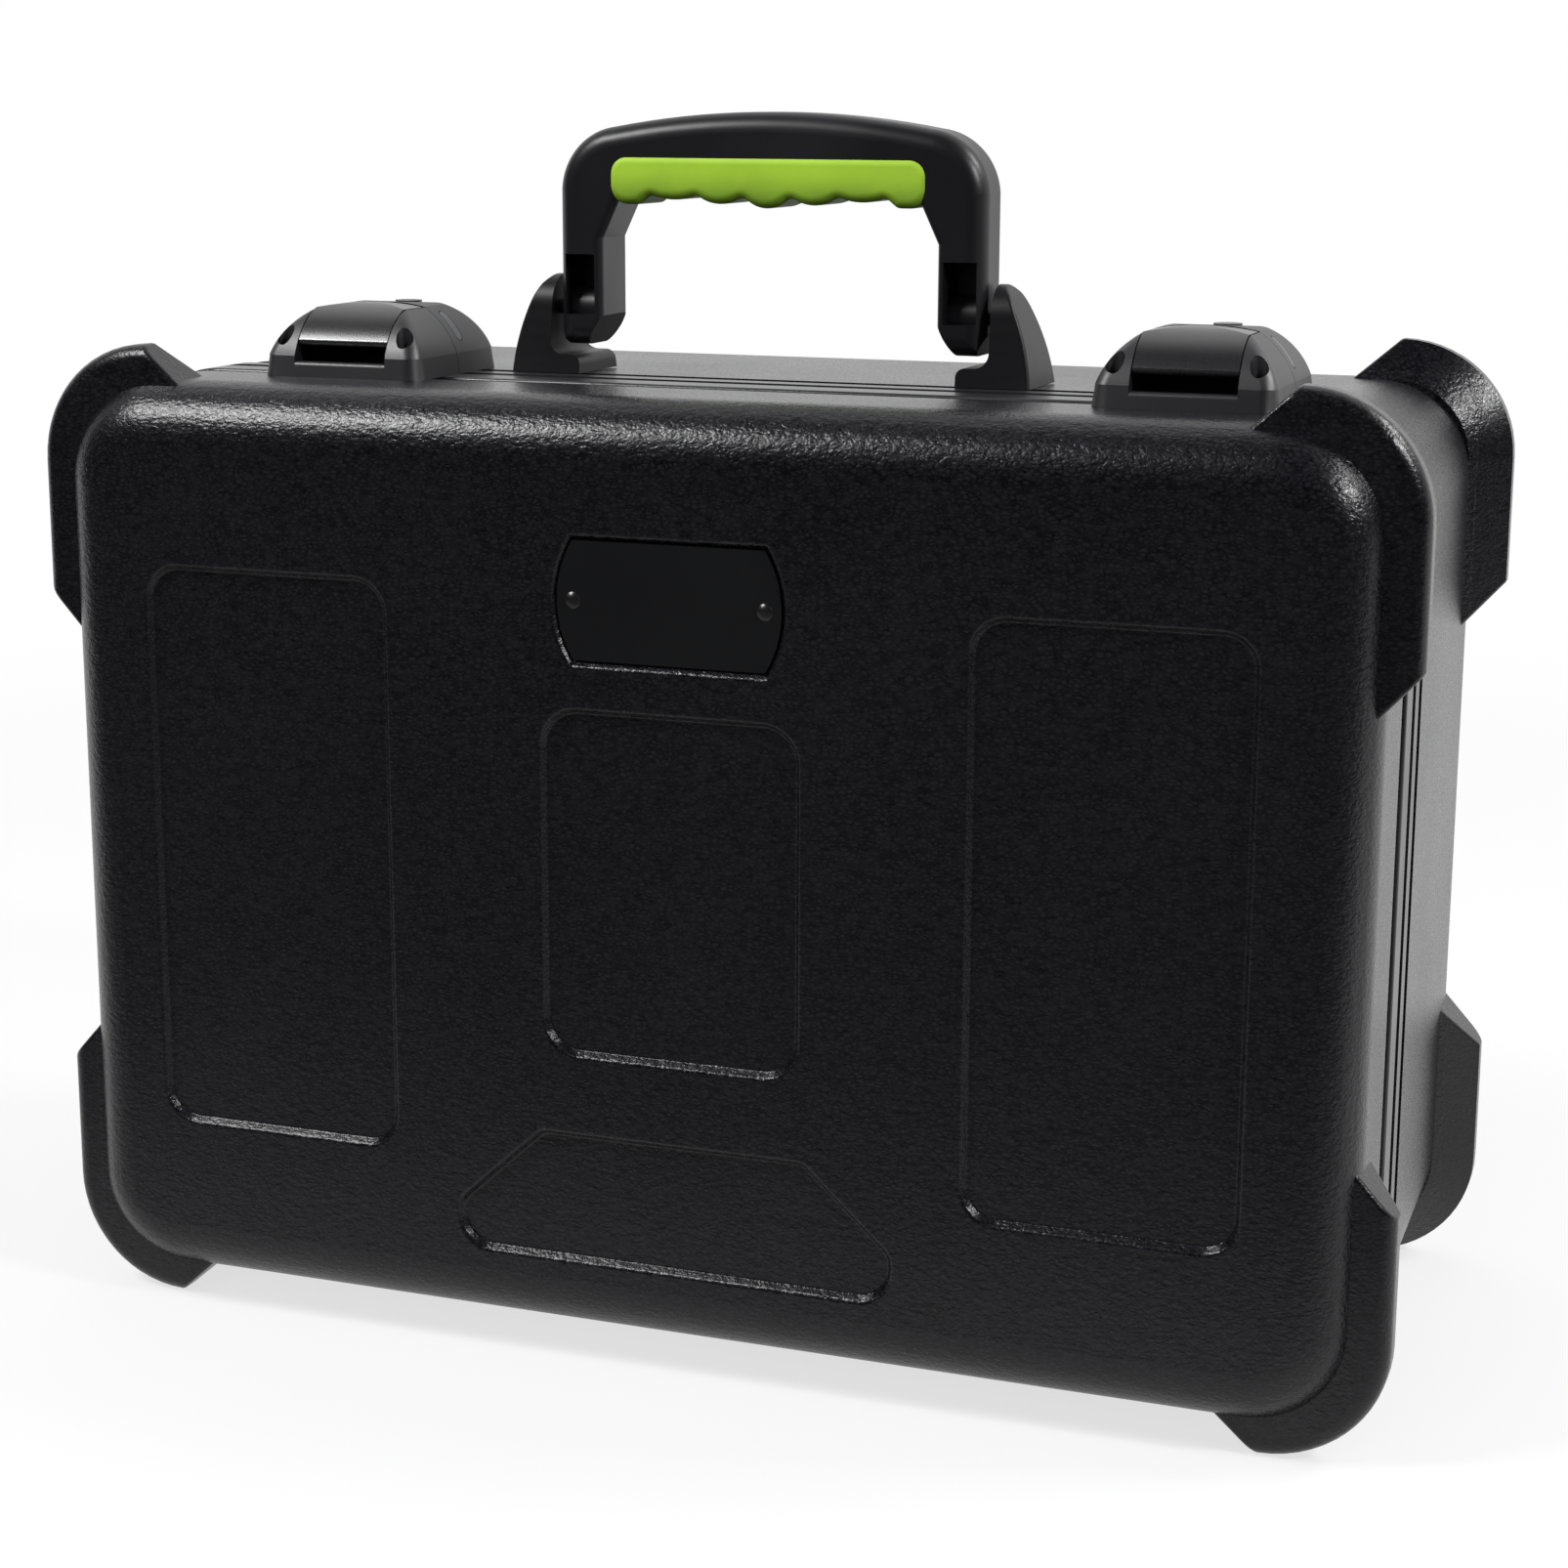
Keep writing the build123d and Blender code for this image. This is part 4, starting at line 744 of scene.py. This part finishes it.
# ---- Modelling bench -------------------------------------------------------------------
class Bench:
    """Blender's modelling operators, each applied to one piece at a time."""

    @staticmethod
    def hold(piece: bpy.types.Object) -> None:
        """Select one piece alone and make it the active one.

        Args:
            piece: The piece to work on.
        """
        if bpy.context.object is not None and bpy.context.object.mode != "OBJECT":
            bpy.ops.object.mode_set(mode="OBJECT")
        bpy.ops.object.select_all(action="DESELECT")
        piece.select_set(True)
        bpy.context.view_layer.objects.active = piece

    @classmethod
    def block(cls, name: str, low: Vector, high: Vector) -> bpy.types.Object:
        """Add a rough block between two corners, with its object at the origin.

        Args:
            name: The piece's name.
            low: The lowest corner.
            high: The highest corner.

        Returns:
            The new piece.
        """
        bpy.ops.object.select_all(action="DESELECT")
        bpy.ops.mesh.primitive_cube_add(size=1.0, location=(low + high) / 2, scale=high - low)
        piece = bpy.context.object
        piece.name = name
        bpy.ops.object.transform_apply(location=True, rotation=True, scale=True)
        return piece

    @classmethod
    def round_edges(
        cls,
        piece: bpy.types.Object,
        chosen: Callable[[Vector, Vector], bool],
        radius: float,
        segments: int,
    ) -> None:
        """Round the edges that a test picks.

        Args:
            piece: The piece to shape.
            chosen: Test on an edge's two ends.
            radius: Size of the round.
            segments: Faces across the round.
        """
        cls.hold(piece)
        bpy.ops.object.mode_set(mode="EDIT")
        bpy.ops.mesh.select_mode(type="EDGE")
        bpy.ops.mesh.select_all(action="DESELECT")
        bpy.ops.object.mode_set(mode="OBJECT")
        points = piece.data.vertices
        for edge in piece.data.edges:
            start, end = (points[index].co for index in edge.vertices)
            edge.select = chosen(start, end)
        bpy.ops.object.mode_set(mode="EDIT")
        bpy.ops.mesh.bevel(offset=radius, segments=segments, affect="EDGES")
        bpy.ops.object.mode_set(mode="OBJECT")

    @classmethod
    def modify(cls, piece: bpy.types.Object, kind: str, settings: dict[str, Any]) -> None:
        """Add a modifier and apply it.

        Args:
            piece: The piece to shape.
            kind: The modifier's type.
            settings: The modifier's values.
        """
        cls.hold(piece)
        modifier = piece.modifiers.new(kind.lower(), kind)
        for name, value in settings.items():
            setattr(modifier, name, value)
        bpy.ops.object.modifier_apply(modifier=modifier.name)

    @classmethod
    def combine(cls, piece: bpy.types.Object, tool: bpy.types.Object, how: str) -> None:
        """Cut a piece with a tool, or keep what both share, and throw the tool away.

        Args:
            piece: The piece to shape.
            tool: The piece that shapes it.
            how: DIFFERENCE or INTERSECT.
        """
        cls.modify(piece, "BOOLEAN", {"operation": how, "solver": "EXACT", "object": tool})
        bpy.data.objects.remove(tool)

    @classmethod
    def copies(cls, pattern: bpy.types.Object, shifts: Sequence[Vector]) -> bpy.types.Object:
        """Copy a piece to several places, and join the copies into one.

        Args:
            pattern: The piece to copy, which is used up.
            shifts: How far each copy is moved.

        Returns:
            The joined piece.
        """
        made = []
        for shift in shifts:
            copy = pattern.copy()
            copy.data = pattern.data.copy()
            copy.location = shift
            bpy.context.scene.collection.objects.link(copy)
            made.append(copy)
        bpy.data.objects.remove(pattern)
        cls.hold(made[0])
        for copy in made:
            copy.select_set(True)
        bpy.ops.object.join()
        bpy.ops.object.transform_apply(location=True, rotation=True, scale=True)
        return made[0]

    @classmethod
    def soften(cls, piece: bpy.types.Object, degrees: float = 35.0) -> None:
        """Shade a piece smooth where its faces meet at a shallow angle.

        Args:
            piece: The piece to shade.
            degrees: The steepest angle that is still shaded smooth.
        """
        cls.hold(piece)
        bpy.ops.object.shade_smooth_by_angle(angle=math.radians(degrees))


def along_depth(start: Vector, end: Vector) -> bool:
    """Tell whether an edge runs through the depth of the case."""
    return abs(start.x - end.x) < TOUCH and abs(start.z - end.z) < TOUCH


# ---- Foam ------------------------------------------------------------------------------
@dataclass(frozen=True)
class FoamInsert:
    """Foam block of the base, with a square drop for each microphone and an open bay."""

    corner: float = 28.0 * MM
    corner_faces: int = 10
    drop: float = 44.0 * MM
    drop_columns: int = 5
    drop_rows: int = 3
    web: float = 18.0 * MM
    drop_round: float = 3.0 * MM
    drop_faces: int = 3
    bay_round: float = 10.0 * MM
    bay_faces: int = 6
    rim_round: float = 1.8 * MM
    rim_faces: int = 3
    overcut: float = 10.0 * MM

    def build(self) -> bpy.types.Object:
        """Model the block and cut its drops and its bay.

        Returns:
            The foam insert.
        """
        low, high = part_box("foam_rails")
        block = Bench.block("foam_insert", low, high)
        Bench.round_edges(block, along_depth, self.corner, self.corner_faces)
        rail = (high.z - low.z - self.drop_rows * self.drop) / (self.drop_rows + 1)
        front = Vector((low.x + self.web, low.y - self.overcut, low.z + rail))
        back = Vector((front.x + self.drop, high.y + self.overcut, front.z + self.drop))
        drop = Bench.block("drop", front, back)
        Bench.round_edges(drop, along_depth, self.drop_round, self.drop_faces)
        steps = [
            Vector((column * (self.web + self.drop), 0.0, row * (rail + self.drop)))
            for column in range(self.drop_columns)
            for row in range(self.drop_rows)
        ]
        Bench.combine(block, Bench.copies(drop, steps), "DIFFERENCE")
        bay_left = front.x + self.drop_columns * (self.web + self.drop)
        bay = Bench.block(
            "bay",
            Vector((bay_left, front.y, low.z + rail)),
            Vector((high.x - self.web, back.y, high.z - rail)),
        )
        Bench.round_edges(bay, along_depth, self.bay_round, self.bay_faces)
        Bench.combine(block, bay, "DIFFERENCE")
        rims = {"width": self.rim_round, "segments": self.rim_faces, "limit_method": "ANGLE"}
        Bench.modify(block, "BEVEL", rims)
        Bench.soften(block)
        return block


@dataclass(frozen=True)
class FloorPad:
    """Thin pad below the insert, with softened edges and shallow pressed channels."""

    corner: float = 24.0 * MM
    corner_faces: int = 8
    channel: float = 6.0 * MM
    channel_depth: float = 1.6 * MM
    channel_pitch: float = 62.0 * MM
    channels: int = 6

    def build(self) -> bpy.types.Object:
        """Model the pad and press its channels.

        Returns:
            The floor pad.
        """
        low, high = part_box("foam_base_pad")
        pad = Bench.block("foam_floor", low, high)
        Bench.round_edges(pad, along_depth, self.corner, self.corner_faces)
        reach = self.channel_pitch * (self.channels - 1) / 2
        start = Vector((-reach - self.channel / 2, low.y - self.channel, low.z - self.channel))
        end = Vector((-reach + self.channel / 2, low.y + self.channel_depth, high.z + self.channel))
        press = Bench.block("channel", start, end)
        steps = [Vector((index * self.channel_pitch, 0.0, 0.0)) for index in range(self.channels)]
        Bench.combine(pad, Bench.copies(press, steps), "DIFFERENCE")
        rims = {"width": self.channel_depth / 2, "segments": 2, "limit_method": "ANGLE"}
        Bench.modify(pad, "BEVEL", rims)
        Bench.soften(pad)
        return pad


@dataclass(frozen=True)
class LidCrate:
    """Egg-crate foam in the lid, whose peaks hold what lies below it."""

    corner: float = 28.0 * MM
    corner_faces: int = 10
    back_round: float = 12.0 * MM
    back_faces: int = 5
    back_reach: float = 0.1 * MM
    columns: int = 12
    rows: int = 8
    steps: int = 8
    depth: float = 20.0 * MM
    smooth_up_to: float = 50.0

    def build(self) -> bpy.types.Object:
        """Model the crate from a grid and trim it to the lid's inside.

        Returns:
            The lid's foam.
        """
        low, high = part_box("lid_foam")
        size = high - low
        middle = (low + high) / 2
        bpy.ops.object.select_all(action="DESELECT")
        bpy.ops.mesh.primitive_grid_add(
            x_subdivisions=self.columns * self.steps,
            y_subdivisions=self.rows * self.steps,
            size=1.0,
            location=(middle.x, high.y, middle.z),
            rotation=(math.radians(-90.0), 0.0, 0.0),
            scale=(size.x, size.z, 1.0),
        )
        crate = bpy.context.object
        crate.name = "lid_foam_crate"
        bpy.ops.object.transform_apply(location=True, rotation=True, scale=True)
        bpy.ops.object.mode_set(mode="EDIT")
        bpy.ops.mesh.select_all(action="SELECT")
        bpy.ops.mesh.extrude_region_move(TRANSFORM_OT_translate={"value": (0.0, -size.y, 0.0)})
        bpy.ops.mesh.select_all(action="SELECT")
        bpy.ops.mesh.normals_make_consistent(inside=False)
        bpy.ops.object.mode_set(mode="OBJECT")
        for point in crate.data.vertices:
            if point.co.y > middle.y:
                across = math.cos(math.tau * self.columns * (point.co.x - low.x) / size.x)
                upright = math.cos(math.tau * self.rows * (point.co.z - low.z) / size.z)
                point.co.y = high.y - self.depth * (0.5 + 0.25 * (across + upright))
        mould = Bench.block("mould", low, high)
        Bench.round_edges(mould, along_depth, self.corner, self.corner_faces)
        deepest = low.y + self.back_reach
        Bench.round_edges(
            mould,
            lambda start, end: max(start.y, end.y) < deepest,
            self.back_round,
            self.back_faces,
        )
        Bench.combine(crate, mould, "INTERSECT")
        Bench.soften(crate, self.smooth_up_to)
        return crate


class FoamSet:
    """The soft filling of the case."""

    def __init__(self, finishes: Finishes) -> None:
        """Keep the finishes for the foam.

        Args:
            finishes: The finishes of the slots.
        """
        self.finishes = finishes

    def build(self) -> None:
        """Model each pad, dress it, and hang it on its body in place of its plain solids."""
        insert = FoamInsert().build()
        rows = ("foam_rails", "foam_row_1", "foam_row_2", "foam_row_3", "foam_bay_wall")
        self._seat(insert, Body.BASE, rows)
        self._seat(FloorPad().build(), Body.BASE, ("foam_base_pad",))
        self._seat(LidCrate().build(), Body.LID, ("lid_foam",))

    def _seat(self, pad: bpy.types.Object, body: Body, nodes: Sequence[str]) -> None:
        """Dress one pad, hang it on its body and hide the plain solids that it stands for.

        Args:
            pad: The modelled pad.
            body: The body that it moves with.
            nodes: The plain solids that it replaces.
        """
        pad.data.materials.clear()
        pad.data.materials.append(self.finishes.of(Slot.FOAM))
        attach(pad, body.value)
        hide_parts(*nodes)
        LOG.info("%s has %d faces and rides on %s", pad.name, len(pad.data.polygons), body.value)


# ---- Studio ----------------------------------------------------------------------------
@dataclass(frozen=True)
class Softbox:
    """A rectangular lamp that faces one point, and may be kept out of reflections."""

    name: str
    place: Triple
    aim: Triple
    width: float
    height: float
    power: float
    mirrored: bool = True

    def build(self) -> None:
        """Add the lamp to the scene."""
        data = bpy.data.lights.new(self.name, "AREA")
        data.shape = "RECTANGLE"
        data.size = self.width
        data.size_y = self.height
        data.energy = self.power
        lamp = bpy.data.objects.new(self.name, data)
        bpy.context.scene.collection.objects.link(lamp)
        lamp.visible_camera = False
        lamp.visible_glossy = self.mirrored
        lamp.location = self.place
        direction = Vector(self.aim) - Vector(self.place)
        lamp.rotation_mode = "QUATERNION"
        lamp.rotation_quaternion = direction.to_track_quat("-Z", "Y")


@dataclass(frozen=True)
class Viewpoint:
    """The camera, its aim, its roll in degrees, and its lens and sensor in millimetres."""

    place: Triple = (0.3564, -0.9847, 0.4165)
    aim: Triple = (0.0394, -0.1125, 0.2070)
    roll: float = 0.21
    lens: float = 69.91
    sensor: float = 36.0
    nearest: float = 0.05
    farthest: float = 60.0

    def build(self) -> None:
        """Add the camera and make it the scene's own."""
        data = bpy.data.cameras.new("camera")
        data.sensor_width = self.sensor
        data.lens = self.lens
        data.clip_start = self.nearest
        data.clip_end = self.farthest
        camera = bpy.data.objects.new("camera", data)
        bpy.context.scene.collection.objects.link(camera)
        camera.location = self.place
        direction = Vector(self.aim) - Vector(self.place)
        tilt = Quaternion((0.0, 0.0, 1.0), math.radians(self.roll))
        camera.rotation_mode = "QUATERNION"
        camera.rotation_quaternion = direction.to_track_quat("-Z", "Y") @ tilt
        bpy.context.scene.camera = camera


@dataclass(frozen=True)
class Studio:
    """Pale floor, white surroundings, a dark room in front, and soft lamps."""

    floor_reach: float = 12.0
    floor_colour: Colour = (0.8, 0.8, 0.8)
    floor_front_colour: Colour = (0.12, 0.12, 0.12)
    floor_glow: float = 0.7
    floor_turn: tuple[float, float] = (-0.4, 0.15)
    shadow_reach: tuple[float, float] = (0.45, 1.5)
    world_fill: float = 0.3
    world_turn: tuple[float, float] = (-0.1, 0.5)
    front_level: float = 0.02

    def build(self) -> None:
        """Build the floor, the world and the lamps."""
        self._floor()
        self._world()
        for lamp in self._lamps():
            lamp.build()
        LOG.info("studio is set")

    def _lamps(self) -> list[Softbox]:
        """Return the softboxes round the case."""
        left_edge, right_corner = (-0.13, -0.11, 0.31), (0.21, -0.11, 0.31)
        left, corner = (-1.01, -0.86, 1.55), (1.42, -0.52, 1.2)
        right, top, front = (1.3, 0.4, 1.5), (0.0, 0.6, 1.6), (-0.3, -2.1, 1.0)
        return [
            Softbox("lamp_left", left, left_edge, 0.6, 0.45, 25.0),
            Softbox("lamp_corner", corner, right_corner, 0.2, 0.2, 14.0),
            Softbox("lamp_right", right, (0.2, 0.0, 0.25), 0.5, 0.5, 15.0),
            Softbox("lamp_top", top, (0.0, 0.0, 0.25), 1.2, 0.8, 6.0, mirrored=False),
            Softbox("lamp_front", front, (0.0, 0.0, 0.2), 0.9, 0.9, 9.0, mirrored=False),
        ]

    def _floor(self) -> None:
        """Lay a large plain floor under the case."""
        bpy.ops.object.select_all(action="DESELECT")
        bpy.ops.mesh.primitive_plane_add(size=2.0 * self.floor_reach, location=ORIGIN)
        floor = bpy.context.object
        floor.name = "floor"
        material, graph = new_material("floor_pale")
        path = graph.node("ShaderNodeLightPath", {}, {})
        seen = Field(graph, path.outputs["Is Camera Ray"])
        mirrored = Field(graph, path.outputs["Is Glossy Ray"])
        clear = Field(graph, path.outputs["Is Transmission Ray"])
        x, y = graph.axis("X"), graph.axis("Y")
        away = ((x * x + y * y) ** 0.5).ramp(*self.shadow_reach)
        behind = y.ramp(*self.floor_turn)
        pale = (seen + behind).clamped()
        colour = graph.blend(pale, self.floor_front_colour, self.floor_colour)
        matt = graph.node("ShaderNodeBsdfDiffuse", {}, {"Color": colour})
        glow = graph.node("ShaderNodeEmission", {}, {"Color": WHITE, "Strength": 1.0})
        shown = seen * (away * (1.0 - self.floor_glow) + self.floor_glow)
        share = (shown + (mirrored + clear) * behind).clamped()
        mix = graph.node(
            "ShaderNodeMixShader",
            {},
            {0: share, 1: matt.outputs["BSDF"], 2: glow.outputs["Emission"]},
        )
        graph.node("ShaderNodeOutputMaterial", {}, {"Surface": mix.outputs["Shader"]})
        floor.data.materials.append(material)

    def _world(self) -> None:
        """Make the surroundings white behind and above the case and dark in front."""
        world = bpy.data.worlds.new("surroundings")
        world.use_nodes = True
        bpy.context.scene.world = world
        graph = ShaderGraph(world.node_tree)
        way = graph.node("ShaderNodeTexCoord", {}, {}).outputs["Generated"]
        parts = graph.node("ShaderNodeSeparateXYZ", {}, {"Vector": way})
        back = Field(graph, parts.outputs["Y"]).ramp(*self.world_turn)
        path = graph.node("ShaderNodeLightPath", {}, {})
        camera = Field(graph, path.outputs["Is Camera Ray"])
        glossy = Field(graph, path.outputs["Is Glossy Ray"])
        clear = Field(graph, path.outputs["Is Transmission Ray"])
        shiny = back * (1.0 - self.front_level) + self.front_level
        mirror = (glossy + clear).clamped()
        level = mirror * shiny + (1.0 - mirror) * self.world_fill
        strength = camera + (1.0 - camera) * level
        glow = graph.node("ShaderNodeBackground", {}, {"Color": WHITE, "Strength": strength})
        graph.node("ShaderNodeOutputWorld", {}, {"Surface": glow.outputs["Background"]})


def main() -> None:
    """Dress the case and its foam, and set the studio and the camera."""
    logging.basicConfig(level=logging.INFO, format="%(name)s: %(message)s")
    bpy.context.scene.view_settings.view_transform = "Standard"
    finishes = Finishes()
    RigidPieces(finishes).dress()
    FoamSet(finishes).build()
    Studio().build()
    Viewpoint().build()


if __name__ == "__main__":
    main()
